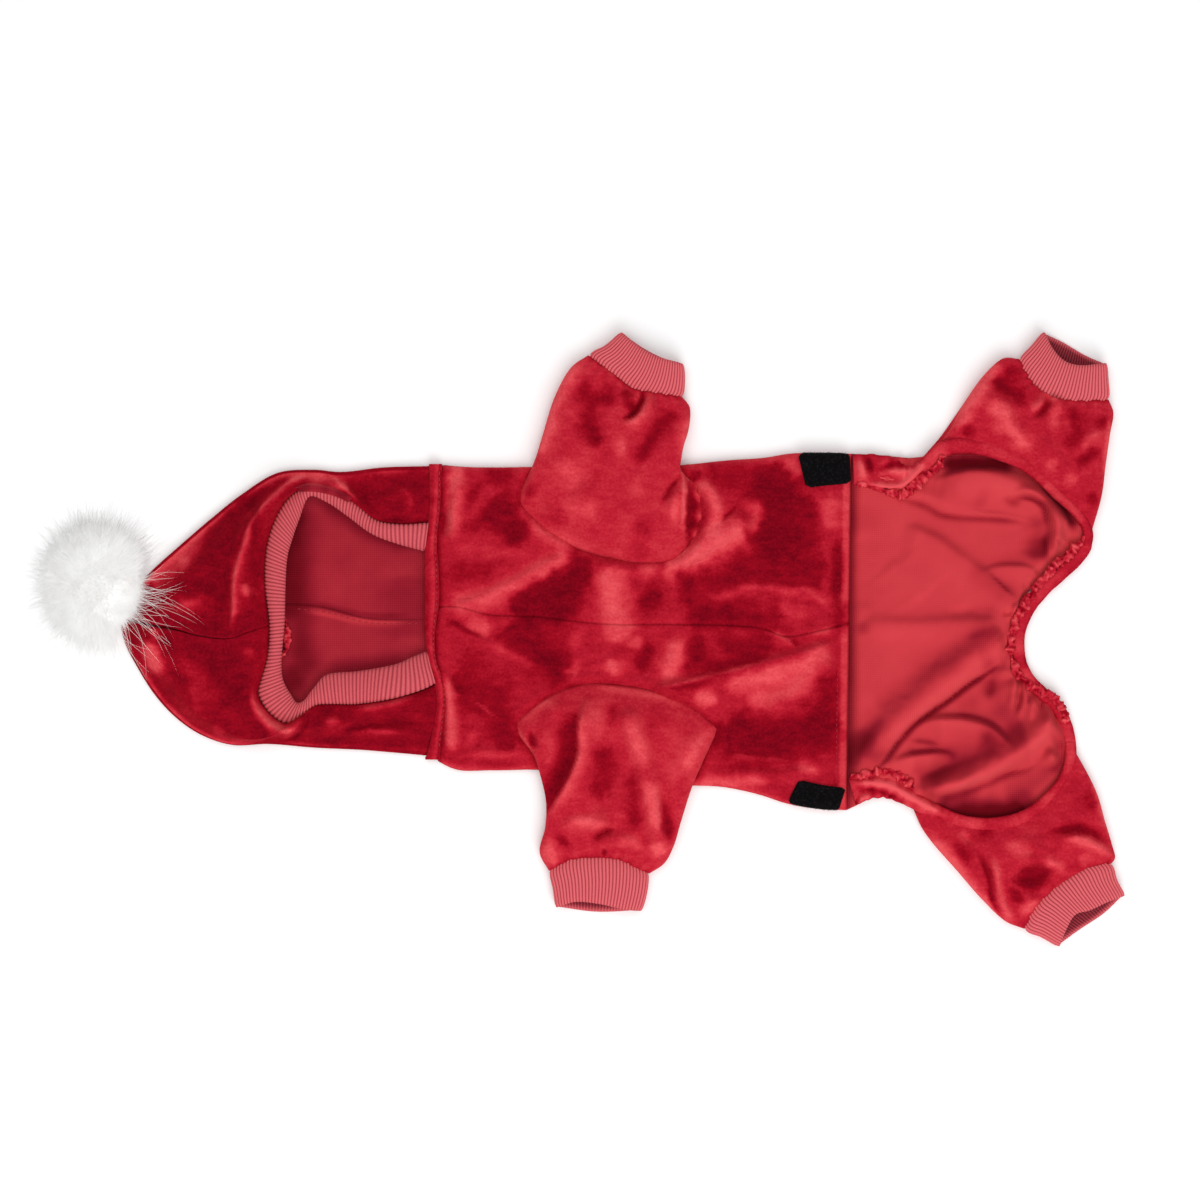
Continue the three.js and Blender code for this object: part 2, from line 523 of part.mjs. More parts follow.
// ---- hood ----
/** Where the points of the hood's section lie: from the face out, round the fold and back beneath. */
const HOOD_SHARES = {
  upper: [0, 0.07, 0.18, 0.35, 0.6, 0.85, 1],
  foldDegrees: [45, 0, -45],
  lower: [0, 0.5, 1],
};

function hoodPiece(side) {
  const left = side === "left";
  const edge = line(left ? HOOD_EDGE_LEFT : HOOD_EDGE_RIGHT);
  const seamRows = left ? FACE_RIB.slice(0, CROWN_ROW + 1) : FACE_RIB.slice(CROWN_ROW).reverse();
  const face = line(seamRows.map(({ seamX, seamY }) => ({ x: seamX, y: seamY })));
  const nape = line(NAPE_SEAM);
  const top = patch(straight(face(0), edge(0)), line(CROWN_SEAM), face, edge);
  const under = patch(straight(edge(0), nape(0)), straight(edge(1), nape(1)), edge, nape);
  const shift = vec(0, (left ? 1 : -1) * (SEAM_GAP / 2));
  const rows = steps(FACETS.hood).map((along) => {
    const crown = column(HOOD_HEIGHT, "at", "crown", along);
    const lip = column(HOOD_HEIGHT, "at", "lip", along);
    const width = face(along).distanceTo(edge(along));
    const depth = edge(along).distanceTo(nape(along));
    const upper = HOOD_SHARES.upper.map((share) => {
      const inset = HOOD_FOLD + (1 - share) * (width - HOOD_FOLD);
      const rise = 2 * HOOD_FOLD
        + (crown - 2 * HOOD_FOLD) * THREE.MathUtils.smoothstep(inset, HOOD_FOLD, HOOD_SLOPE);
      const fromFace = share * width;
      const blend = Math.exp(-((fromFace / LIP_REACH) ** 2));
      return top(1 - inset / width, along).setZ(rise * (1 - blend) + lip * blend);
    });
    const fold = HOOD_SHARES.foldDegrees.map((degrees) => {
      const angle = THREE.MathUtils.degToRad(degrees);
      const inset = HOOD_FOLD * (1 - Math.cos(angle));
      return top(1 - inset / width, along).setZ(HOOD_FOLD * (1 + Math.sin(angle)));
    });
    const lower = HOOD_SHARES.lower.map((share) => {
      const inset = Math.min(HOOD_FOLD, depth / 2) * (1 - share) + share * depth;
      return under(inset / depth, along).setZ(0);
    });
    return [...upper, ...fold, ...lower].map((point) => point.add(shift));
  });
  return cut(wall(left ? rows.reverse() : rows, -CLOTH, 0), facePlug(), crownPlug(side));
}

/** The face opening: the line where the rib is sewn on, a seam's gap outside. */
function facePlug() {
  const seam = line(FACE_RIB.map(({ seamX, seamY }) => ({ x: seamX, y: seamY })));
  const points = beside(steps(FACETS.face).map(seam), -SEAM_GAP);
  return plug([...points, vec(NECK_X, points.at(-1).y), vec(NECK_X, points[0].y)], FACE_LOW, ABOVE);
}

/** What lies across the crown seam from one half of the hood. */
function crownPlug(side) {
  // The right half runs on under the left one, so only its upper layer is cut.
  const [outward, low] = side === "left" ? [-1, BELOW] : [1, UNDER_LAYER_TOP];
  const seam = steps(FACETS.crown).map(line([...CROWN_SEAM, PAST_TIP]))
    .map((point) => point.sub(vec(0, (outward * SEAM_GAP) / 2)));
  const sideY = outward * HOOD_BEYOND;
  return plug([...seam, vec(PAST_TIP.x, sideY), vec(CROWN_SEAM[0].x, sideY)], low, ABOVE);
}

const RIB_SHARES = [0, 0.35, 0.7, 1]; // across the rib, from its seam to its edge

function faceRib() {
  const rows = steps(FACETS.rib).map((along) => {
    const place = along * (FACE_RIB.length - 1);
    const at = (name) => column(FACE_RIB.map((row, i) => ({ ...row, i })), "i", name, place);
    const seam = vec(at("seamX"), at("seamY"), LIP_HEIGHT - 1);
    const edge = vec(at("edgeX"), at("edgeY"), at("edgeZ"));
    const way = edge.clone().sub(seam).setZ(0).normalize();
    seam.addScaledVector(way, SEAM_GAP + RIB_CLEARANCE);
    return RIB_SHARES.map((share) => mix(seam, edge, share)
      .add(vec(0, 0, RIB_CROWN * Math.sin(Math.PI * share))));
  });
  return wall(rows.reverse(), -RIB / 2, RIB / 2);
}

function neckBand() {
  const rings = NECK_BAND.map(({ x, left, right, rise }) =>
    aroundRing(FACETS.neckRing).map((angle) => {
      const round = rounded(NECK_SQUARENESS);
      const across = (1 + round(Math.cos(angle))) / 2;
      return vec(x, THREE.MathUtils.lerp(right, left, across), (rise / 2) * (1 + round(Math.sin(angle))));
    }));
  return wall(rings.reverse(), -NECK_CASING, 0, true);
}

// ---- trims ----
function tapePatch(side, corners) {
  const [a, b, c, d] = corners.map(({ x, inset }) => vec(x, inset));
  const rows = steps(FACETS.tape).map((along) => PATCH_SHARES.map((share) => {
    const { x, y: inset } = mix(mix(a, b, along), mix(d, c, along), share);
    const edge = column(BODY, "x", side, x);
    return bellyPoint(x, side === "left" ? edge - inset : edge + inset, inset);
  }));
  return wall(side === "left" ? rows.reverse() : rows, TAPE_LIFT, TAPE_LIFT + TAPE);
}

function pompom() {
  const ball = new THREE.SphereGeometry(1, FACETS.ballRound, FACETS.ballUp).rotateX(Math.PI / 2)
    .scale(POMPOM.reachX, POMPOM.reachY, POMPOM.reachZ)
    .translate(POMPOM.x, POMPOM.y, POMPOM.z);
  const tip = (rows) => steps(FACETS.tip, POMPOM_CUT_FROM, 1).map(line(rows));
  const outline = [...tip(HOOD_EDGE_LEFT), ...tip(HOOD_EDGE_RIGHT).reverse().slice(1)];
  return cut(ball, plug(beside(outline, -POMPOM_SEAT.margin), BELOW, POMPOM_SEAT.height));
}

// ---- the garment ----
const costume = new THREE.Group();
costume.name = "dog_costume";

function add(name, geometry, material) {
  const mesh = new THREE.Mesh(geometry, new THREE.MeshStandardMaterial(MATERIALS[material]));
  mesh.name = name;
  costume.add(mesh);
}

add("back", backPiece(), "knit");
add("front_left", bellyPiece("left", SLEEVE_LEFT), "velour");
add("front_right", bellyPiece("right", SLEEVE_RIGHT), "velour");
add("hood_left", hoodPiece("left"), "velour");
add("hood_right", hoodPiece("right"), "velour");
add("hood_rib_band", faceRib(), "rib");
add("neck_band", neckBand(), "velour");
add("sleeve_left", tube(SLEEVE_LEFT, FACETS.limb, CLOTH), "velour");
add("sleeve_right", tube(SLEEVE_RIGHT, FACETS.limb, CLOTH), "velour");
add("leg_left", tube(LEG_LEFT, FACETS.limb, CLOTH), "velour");
add("leg_right", tube(LEG_RIGHT, FACETS.limb, CLOTH), "velour");
add("sleeve_cuff_left", cuff(SLEEVE_LEFT, SLEEVE_CUFF_LEFT, CUFF_SEAM.sleeve), "rib");
add("sleeve_cuff_right", cuff(SLEEVE_RIGHT, SLEEVE_CUFF_RIGHT, CUFF_SEAM.sleeve), "rib");
add("leg_cuff_left", cuff(LEG_LEFT, LEG_CUFF_LEFT, CUFF_SEAM.leg), "rib");
add("leg_cuff_right", cuff(LEG_RIGHT, LEG_CUFF_RIGHT, CUFF_SEAM.leg), "rib");
add("tail_binding", strip(TAIL_BINDING, BINDING_HEIGHT), "velour");
add("leg_binding_left", strip(LEG_BINDING_LEFT, BINDING_HEIGHT), "velour");
add("leg_binding_right", strip(LEG_BINDING_RIGHT, BINDING_HEIGHT), "velour");
add("patch_left", tapePatch("left", PATCH_LEFT), "tape");
add("patch_right", tapePatch("right", PATCH_RIGHT), "tape");
add("pompom", pompom(), "fur");

export default costume;
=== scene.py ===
"""The looks of a hooded dog costume: velour outside, plain knit backing inside, rib-knit trims, a fur pompom.

Lengths are in millimetres until a mesh is made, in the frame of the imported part: +X to the tail,
+Y to the dog's left side, +Z up. The garment lies on its back, belly pieces uppermost.
"""

import math

import bpy
import numpy as np
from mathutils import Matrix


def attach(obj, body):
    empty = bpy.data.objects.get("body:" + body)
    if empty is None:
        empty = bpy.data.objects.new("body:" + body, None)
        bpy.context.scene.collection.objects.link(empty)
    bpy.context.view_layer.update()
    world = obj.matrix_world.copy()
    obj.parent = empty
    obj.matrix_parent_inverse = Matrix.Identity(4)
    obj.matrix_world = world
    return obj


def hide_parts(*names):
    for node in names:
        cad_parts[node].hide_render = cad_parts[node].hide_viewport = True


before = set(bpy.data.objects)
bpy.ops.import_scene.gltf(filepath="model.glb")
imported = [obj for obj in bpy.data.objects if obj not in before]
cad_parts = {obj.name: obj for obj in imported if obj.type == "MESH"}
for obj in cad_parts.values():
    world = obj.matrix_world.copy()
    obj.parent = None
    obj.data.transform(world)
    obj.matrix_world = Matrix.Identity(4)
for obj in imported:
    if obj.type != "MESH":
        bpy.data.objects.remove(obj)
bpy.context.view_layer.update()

MM = 0.001


def table(columns, *rows):
    """Rows of numbers as one array for each named column."""
    return dict(zip(columns.split(), np.array(rows, float).T))


def runs(text):
    """Rows of a size, a reach to each side and the x,y of the points that a run goes through."""
    rows = []
    for row in text.strip().splitlines():
        size, left, right, *spots = row.split()
        rows.append((float(size), float(left), float(right), np.array([s.split(",") for s in spots], float)))
    return rows


# ---- sizes ----
VELOUR = 1.7  # the cloth's thickness, pile and backing
PAINTED_SHEEN = 0.24  # painted sheen: how much lighter the pile's colour is made where it slopes
PILE_SWING = 0.44  # how far its lightness goes from the middle
PILE_POWER, PILE_RAGGED = 1.9, 0.26  # how soft and how uneven the edges of a stroke of tone are: the pile's nap, with painted shade and highlights
BELLY_TONE, NAPE_TONE, KNIT_TONE = 0.38, 0.36, 0.62  # how light the cloth is between the strokes
BELLY_STROKES, LIMB_STROKES, HOOD_STROKES, KNIT_STROKES = 1.42, 1.35, 1.35, 0.66  # how strong they are
RIB = 2.4  # rib knit, doubled
RIB_PITCH = 2.0  # from one rib to the next
RIB_DEPTH = 0.75  # from a rib's crest to the valley beside it
RIB_POINTS = 6  # of a mesh, from one rib to the next
CUFF_TUCK = 2.0  # how far a cuff runs on inside the velour
CUFF_ROUND, CUFF_WIDTH = 2.15, 54  # its girth to the length of its upper edge, and its width as it lies
LIMB_ROUND, LIMB_WIDTH = 184.8, 85  # a sleeve or a leg, all round and as it lies
BELLY_TOP, BELLY_LOWEST = 7.2, 2.3  # its face above the ground, and the lowest that its edges go
BELLY_LENGTH, FRONT_WIDTH = 226, dict(left=85, right=92)
SIDE_RADIUS, ROLL_POINTS = 4.6, 7  # the belly's rolled side, and its points
ARMHOLE_LAP = 1.6  # how far the belly runs on under a sleeve
HOOD_FOLD = 2.5  # the radius of the fold at the hood's edge
HOOD_NECK_X, NECK_TUCK = -90.5, 1.2  # the hood's edge, and how far the casing laps over what it joins
CASING_DEPTH = 0.9  # the deepest its creases go, so that the knit below stays covered
DRAWN_UP_TO = 200.0  # the body's sides are gathered on elastic from the hem to here
REAR_RELIEF, FLANK_SHADE, LIGHT_WAY = 1.1, 0.19, (0.35, -0.94)
REAR_HEIGHT = 5.2  # of the knit past the hem, above the ground, between its folds
REAR_LENGTH, REAR_WIDTH = 95, 160  # of the knit past the hem
BACK_POINTS, BODY_ROWS, REAR_ROWS = 140, 40, 96  # of the back's mesh: across, under the belly, past the hem
LIP_HEIGHT = 10.0  # where the band round the face is sewn to the hood
NECK_X, HEM_X, HEM_SLANT = -78.2, 146.0, 0.0125
SEAM_DIP = 0.8  # how far the cloth sinks along a sewn seam
HEM_DEPTH = 6.2  # from the belly's hem to its row of stitches
STITCHED_AT = 0.84  # where the row of stitches lies, as a share of the neck casing's width
NECK_FROM, NECK_LONG = -67, 162.8  # the neck casing's right end, and its length as it lies
GRID = 1.3  # from one point of a cloth's mesh to the next
CASING_STEP, CASING_POINTS = 0.75, 38  # from one ring of a casing's mesh to the next, and a ring's points
RUFFLE_STEP, RUFFLE_POINTS = 0.36, 16
RUN_STEP = 1.5  # from one point of a run to the next
RUN_OUT = 20.0  # how far a run that reaches 1 mm to each side takes to run out
PATCH_POINTS, PATCH_RISE = (72, 44), 2.4
FUZZ_HAIRS, FUZZ_RADIUS = 1500, 0.07
POMPOM_CENTRE, POMPOM_REACH = np.array([-265.5, 30.5, 27.0]), np.array([37.0, 43.5, 26.5])
CORE_SHARE = 0.58  # how far out the fur is too dense to see into
FUR_TOP = 66.0
FUR_UNDERSIDE = -0.88  # no hair stands lower than this, as the pompom rests on the ground
UNDERCOAT_HAIRS, UNDERCOAT_RADIUS = 16500, 0.148
GUARD_HAIRS, GUARD_RADIUS = 9000, 0.085
STRAY_HAIRS, STRAY_RADIUS = 74, 0.12
WAVE_BANDS = 20 / math.tau  # how many bands a wave pattern has in one unit

# ---- outlines, in plan ----
BODY = table("x left seam right",
             (-80, 95.5, 17, -67), (-70, 94.5, 17.5, -72), (-50, 94, 13, -73), (-25, 94.3, 12, -72.7),
             (10, 94.5, 8, -76), (50, 95, 7.5, -81), (80, 98, 7, -82.5), (100, 99.5, 5, -87),
             (112, 101.5, 1, -91), (128, 102, 4, -94), (147, 101.5, 8.5, -95))
TAIL_EDGE = table("x y", (267, -60), (263.5, -46), (254, -32.5), (244, -27), (237, -20), (233.5, -8),
                  (234, 2), (238, 16), (245, 27), (255, 38), (265, 47), (279, 59.5))
# the back's sides run on into the legs, over their lower layers and under their casings
REAR_LEFT = table("x y", (146, 101.5), (165, 100.5), (178, 99.2), (189, 100.5), (200, 103), (215, 102.5),
                  (230, 98.6), (243, 92), (254, 83), (264, 74), (272, 67.5), (279, 59.5))
REAR_RIGHT = table("x y", (143.6, -95), (157, -88.5), (165, -86.5), (173, -91), (183, -93.5),
                   (194, -97.5), (206, -101.5), (220, -102.5), (234, -101), (244, -96), (253, -88.5),
                   (260, -81), (265, -72), (267, -60))
SLEEVE_LEFT = dict(
    side="left",
    top=table("x y", (-36, 82), (-36, 73), (-28, 64), (-13, 53), (10, 44.5), (34, 41.2), (52, 44.5),
              (61, 56), (64, 70), (62, 84)),
    under=table("x y", (-36, 82), (-30, 86), (-20, 90), (5, 90.5), (36, 90.5), (47, 88.5), (54, 84.8),
                (62, 84)),
    left=table("x y", (-36, 82), (-31, 91), (-27, 101), (-24, 111), (-17, 133), (-8, 149), (1, 155.5)),
    right=table("x y", (62, 84), (54, 90), (51, 97), (53, 104), (56.5, 115), (57, 127), (53, 132.5)),
    end_top=table("x y", (1, 155.5), (9, 149.5), (17, 143.5), (26, 137), (38, 134.8), (53, 132.5)),
    end_under=table("x y", (1, 155.5), (27, 147), (53, 132.5)),
    height=table("at rise", (0, 7.4), (0.12, 13), (0.45, 15), (0.8, 13.5), (1, 11)))
SLEEVE_RIGHT = dict(
    side="right",
    top=table("x y", (-37, -54), (-38, -47), (-30, -39), (-15, -29.5), (0, -25.2), (20, -26.3), (40, -30),
              (58, -38), (73, -50)),
    under=table("x y", (-37, -54), (-31, -54.5), (-24, -61), (-14, -68.5), (10, -71.5), (38, -73.5),
                (52, -70), (61, -59), (66, -51.5), (73, -50)),
    left=table("x y", (-37, -54), (-29, -64), (-25.5, -74), (-22, -90), (-22.5, -104), (-25.5, -118),
               (-20.5, -128)),
    right=table("x y", (73, -50), (68, -60), (59, -80), (52.5, -100), (48, -115), (43, -124), (35, -129.5)),
    end_top=table("x y", (-20.5, -128), (-8, -121.7), (5, -120.5), (18, -121.7), (27, -126), (35, -129.5)),
    end_under=table("x y", (-20.5, -128), (6, -131), (35, -129.5)),
    height=table("at rise", (0, 7.4), (0.12, 13), (0.45, 15), (0.8, 13.5), (1, 11)))
LEG_LEFT = dict(
    side="left",
    top=table("x y", (197, 109.5), (209, 106.6), (225, 103), (240, 97), (250, 89), (260, 79), (268, 71.6),
              (278.5, 59)),
    under=table("x y", (197, 109.5), (187, 101), (183.8, 92), (184.5, 82), (191, 73.5), (205, 68.5),
                (235, 65), (258, 59), (278.5, 59)),
    left=table("x y", (197, 109.5), (202, 117), (211, 134), (221, 147), (230, 154), (238, 153.5)),
    right=table("x y", (278.5, 59), (283.4, 78), (285.5, 95), (288, 112), (290, 124), (287.5, 131)),
    end_top=table("x y", (238, 153.5), (246, 139.5), (256, 132.7), (267, 130.6), (287.5, 131)),
    end_under=table("x y", (238, 153.5), (264, 147), (287.5, 131)),
    height=table("at rise", (0, 9), (0.3, 13.5), (0.75, 13), (1, 10.5)))
LEG_RIGHT = dict(
    side="right",
    top=table("x y", (181, -96), (190, -95.6), (198, -98.6), (206, -102), (218, -104), (231, -102.6),
              (242, -98.4), (251, -91), (258.6, -83), (264, -74.4), (268.4, -61)),
    under=table("x y", (181, -96), (178.5, -87), (184, -77.5), (200, -71), (225, -68), (248, -63),
                (268.4, -61)),
    left=table("x y", (181, -96), (184.5, -104), (190, -112), (204, -128), (218, -144), (231, -156),
               (241, -160)),
    right=table("x y", (268.4, -61), (275, -73), (281, -86), (285, -100), (289, -113), (291, -121),
                (289, -124)),
    end_top=table("x y", (241, -160), (247, -148), (256, -138.5), (268, -130), (278, -125.3), (289, -124)),
    end_under=table("x y", (241, -160), (269, -148), (289, -124)),
    height=table("at rise", (0, 9), (0.3, 13.5), (0.75, 13), (1, 10.5)))
CUFF_HEIGHT = table("at rise", (0, 8.8), (0.16, 10.8), (0.5, 12.6), (1, 13.5))
CUFFS = dict(
    sleeve_cuff_left=dict(
        left=table("x y", (3, 157), (10.5, 161), (19, 168.5)),
        right=table("x y", (53.6, 134), (54.5, 142), (54, 150.5)),
        mouth_top=table("x y", (19, 168.5), (24, 164), (31, 158.5), (40, 154), (54, 150.5)),
        mouth_under=table("x y", (19, 168.5), (24.6, 164.6), (32, 159.6), (41, 155), (54, 150.5))),
    sleeve_cuff_right=dict(
        left=table("x y", (-20, -130), (-18.3, -138), (-17, -148)),
        right=table("x y", (34.6, -131.5), (33.5, -141), (31, -150)),
        mouth_top=table("x y", (-17, -148), (-6, -144.5), (8, -145.7), (20, -148.5), (31, -150)),
        mouth_under=table("x y", (-17, -148), (6, -151), (31, -150))),
    leg_cuff_left=dict(
        left=table("x y", (239.5, 155), (245, 161), (251, 168.5)),
        right=table("x y", (287.7, 132.5), (287.2, 142), (286.5, 151)),
        mouth_top=table("x y", (251, 168.5), (255.5, 159), (262, 152), (270, 149.5), (286.5, 151)),
        mouth_under=table("x y", (251, 168.5), (262, 163.5), (275, 156), (286.5, 151))),
    leg_cuff_right=dict(
        left=table("x y", (242.5, -161.5), (250, -164.5), (259.5, -170)),
        right=table("x y", (289.8, -125.5), (292, -133), (296.5, -141)),
        mouth_top=table("x y", (259.5, -170), (263, -160), (268, -151.5), (276, -149), (286, -144.5),
                        (296.5, -141)),
        mouth_under=table("x y", (259.5, -170), (272, -161), (286, -151.5), (296.5, -141))))
HOOD_EDGE_LEFT = table("x y", (-90.5, 94.8), (-112, 94), (-135, 91.5), (-150, 92.7), (-170, 91), (-190, 79),
                       (-207, 65.5), (-225, 50), (-240, 36.5), (-251, 25), (-256.6, 12.2))
HOOD_EDGE_RIGHT = table("x y", (-90.5, -65), (-120, -62), (-150, -60.5), (-175, -58.5), (-195, -59),
                        (-212, -53.5), (-226, -44), (-238, -31), (-248, -15), (-255, -1), (-257, 11))
CROWN_SEAM = table("x y", (-173.5, 7), (-184, 3.5), (-195, -0.3), (-210, 1), (-225, 4.5), (-242, 7.5),
                   (-257, 11))
NAPE_SEAM = table("x y", (-90.5, 10.5), (-120, 11), (-145, 17), (-165, 19), (-205, 16), (-248, 11.6))
HOOD_HEIGHT = table("at crown lip", (0, 8, 7.5), (0.2, 11, 9.5), (0.5, 15, 10), (1, 18, 10))
FACE_RIB = table("seam_x seam_y edge_x edge_y edge_z", (-91, 63.5, -91, 47.5, 6),
                 (-105, 62.5, -104, 51.5, 7), (-117, 65.5, -118, 57.5, 8), (-130, 76.5, -131, 67, 8),
                 (-142, 82, -142, 74.5, 9), (-152, 83.5, -152, 77.5, 10), (-162, 78, -157.5, 65, 9),
                 (-170, 66, -161, 55, 9), (-175, 50, -164, 44, 9), (-176, 30, -165, 28, 9),
                 (-173.5, 7, -165.5, 8, 9), (-174.5, -10, -167, -9, 9), (-178, -23, -167, -19, 9),
                 (-179.5, -31, -165.5, -25, 9), (-174, -40.5, -162, -31, 9),
                 (-165, -46.5, -158.5, -35.5, 9), (-157, -42.6, -153.5, -33.5, 9),
                 (-149, -37, -149, -27, 8), (-140, -36.3, -142, -20, 7), (-125, -36.3, -125, -18.2, 7),
                 (-110, -34, -108, -15, 6), (-99, -29.5, -98, -10, 6), (-91, -25, -91, -7, 6))
CROWN_ROW = 10
NECK_EDGES = table("y left right", (-67, -88.5, -80.5), (-58, -86, -79.5), (-45, -83.5, -78),
                   (-33, -82.5, -77), (-22, -84, -78.5), (-15, -86, -81.5), (-5, -88, -83),
                   (8, -89, -82.3), (18, -89, -80.8), (40, -89, -81), (50, -88.8, -81.8),
                   (60, -87.4, -81.4), (70, -86.4, -80.2), (95.5, -86.4, -79.2))
BINDINGS = dict(
    tail_binding=table("x y z wide", (266.6, -67, 5.8, 6), (266.2, -58, 5, 6.5), (264, -47.5, 4.6, 6.5),
                       (259.2, -38.6, 4.5, 6.5), (251, -30.4, 4.5, 6.5), (243.4, -22.8, 4.5, 7),
                       (239.2, -14, 4.5, 7), (237.9, -5, 4.5, 7), (238.4, 3.4, 4.5, 7),
                       (242.6, 14.2, 4.5, 7), (250.2, 24.8, 4.5, 7.2), (260, 34.4, 4.5, 7.4),
                       (269.2, 43, 4.5, 7.4), (274.4, 49.6, 5, 7), (275.6, 56, 5.8, 6)),
    leg_binding_left=table("x y z wide", (147, 92, 4.8, 16), (158, 92.3, 4.8, 17), (168, 90.4, 4.8, 16.5),
                           (176, 88.6, 5, 12.5), (182.6, 90.6, 5.6, 10), (188.6, 96.6, 6.6, 9),
                           (195.4, 103.4, 7.6, 8.4), (205, 105.6, 7.8, 8.4), (217, 104.6, 7.8, 8.4),
                           (229, 101.2, 7.8, 8.4), (240, 96, 7.8, 7.6), (250, 87.8, 7.6, 6.4),
                           (259, 78.6, 7.6, 5.4), (267, 71.4, 7.4, 5.2), (273.2, 64.4, 7, 5.6),
                           (276.2, 57, 6.4, 6), (275.4, 50.4, 5.8, 5.5)),
    leg_binding_right=table("x y z wide", (146.4, -84.6, 4.8, 15), (156, -82, 4.8, 13),
                            (166, -82, 4.8, 12), (175, -86, 5.3, 10), (184, -91.4, 5.6, 8.6),
                            (193, -95.6, 6.6, 8), (202.3, -99.6, 7.6, 8), (212, -102, 7.8, 8.4),
                            (223, -102.6, 7.8, 8.4), (234, -101, 7.8, 8), (243.4, -96.6, 7.8, 7),
                            (251.6, -90, 7.6, 6), (258.6, -82.6, 7.4, 5.6), (263.8, -74.4, 7, 5.8),
                            (266.4, -65, 6.4, 6), (266, -57, 5.6, 6)))
# the folds and creases of the wide casings at the body's sides
SIDE_FOLDS = runs("""
    2.2 2.4 2.4  149,99.5 151,94 153.5,88 156,84
    -2.4 2.2 2  154,101 156,95 157.4,88
    -2 1.9 2.2  157,88.5 161,92 166,94.6 174,96 183,96
    2 1.8 3  159,88.6 167,91.6 176,91.6 182,92.4
    -1.6 2.2 2  159,87.6 166,88.6 173,87.6
    2.8 2.2 1.8  148,84.6 157,84 166,82.6 173,83.6 179,88 184,94 189,101
    -2 1.5 1.5  172,80.6 178,83.6 183,89 187,95
    2 2 2  143,-80.6 155,-79.6 166,-80.8 176,-86 188,-92.4 200,-99
    -2.2 1.7 1.7  144,-84 154,-83.2 162,-84.4 169,-87 176,-92
    2 2 2  145,-90.6 152,-88.2 159,-86.6
    -2.4 .9 1  145.6,-95 149,-89 151,-85
    2 1.8 1.8  171,-90.6 176,-93 181,-95.6
    -2 .9 .9  166,-89.6 168,-85.6""")
PATCHES = dict(
    patch_left=table("x inset", (116.5, 0.9), (145, 0.9), (145.6, 16.5), (121, 19.5)),
    patch_right=table("x inset", (111, 0.9), (139, 0.9), (142.8, 12.5), (117, 14.5)))

# ---- folds: height, reach to the left of the run, reach to its right, and the points it runs through.
# A short reach is a steep side. A height below 0 is a trough ----
BELLY_FOLDS = runs("""
    5 2.4 10  34,-28 52,-25 72,-20.5 92,-15.5 112,-10 127,-5.5 139,-1
    3 6 6  96,-40 112,-33 124,-22 136,-10
    2.6 5 5  58,-33 70,-35 80,-39
    2.2 1.6 4  97,4 107,.5 114,-4.5 119,-4.5
    2.4 4 1.4  117,-1 124,1.4 133,3.2 141,6
    4.6 3 10  96,66 84,60 70,52 58,44 44,40
    3.6 4 5  56,86 63,83.5 69,78.5 72,71 70,62
    3.4 4 3  84,74 92,75 98.5,70 97,63
    -2.4 5 5  77,70 80,66
    4 3.6 7  -72,48 -72,60 -71,74 -69,97
    -3.2 2.5 2  -78,76 -78.2,64 -79.5,52
    3.6 4 3  -74,-66 -74,-46 -75.5,-32 -79,-20 -82,-12
    -2.4 3 2  -73,-16 -70,-25 -67,-33
    2.4 1.4 4  -80,10.5 -70,6 -60,.5 -46,-6
    1.4 .9 2.6  -68,-32.5 -58,-37.5 -50,-43.5 -43,-48
    2.6 3 6  -78,14 -60,21 -40,30 -20,41 -4,48
    -2.6 7 7  -40,10 -26,18 -12,30 2,40
    -2.4 8 7  -36,4 -26,-7 -14,-18
    3 9 9  16,46 13,30 14,14 19,-2 17,-22
    2.2 6 4  50,5 49,-8 42,-22
    -2.2 4 5  38,3 34,-12 28,-24
    -2.2 4 5  62,5 61,-6 59,-16
    -1.8 8 8  28,24 42,18
    2 4 4  -38,76 -33,66 -24,57.5 -12,51.5 -3,48
    -2.4 7 8  -45,66 -36,57
    1.6 3 3  72,25 88,27.5 104,27.5 118,26 130,19
    2.2 3 2.4  66,-66 84,-66 104,-68 116,-70
    3 3 5  58,-77 84,-76 108,-74 126,-73
    2.4 3 3  -70,-62.5 -50,-63.5 -28,-64
    -1.6 4 4  138,60 138.5,40 138,14
    -1.8 6 8  131,-16 131,-40 129,-62
    2.4 5 5  104,101 111,94 118,84
    1.2 6 6  132,50 136,66 137,82
    -1.6 10 12  105,84 108,62 116,42""")
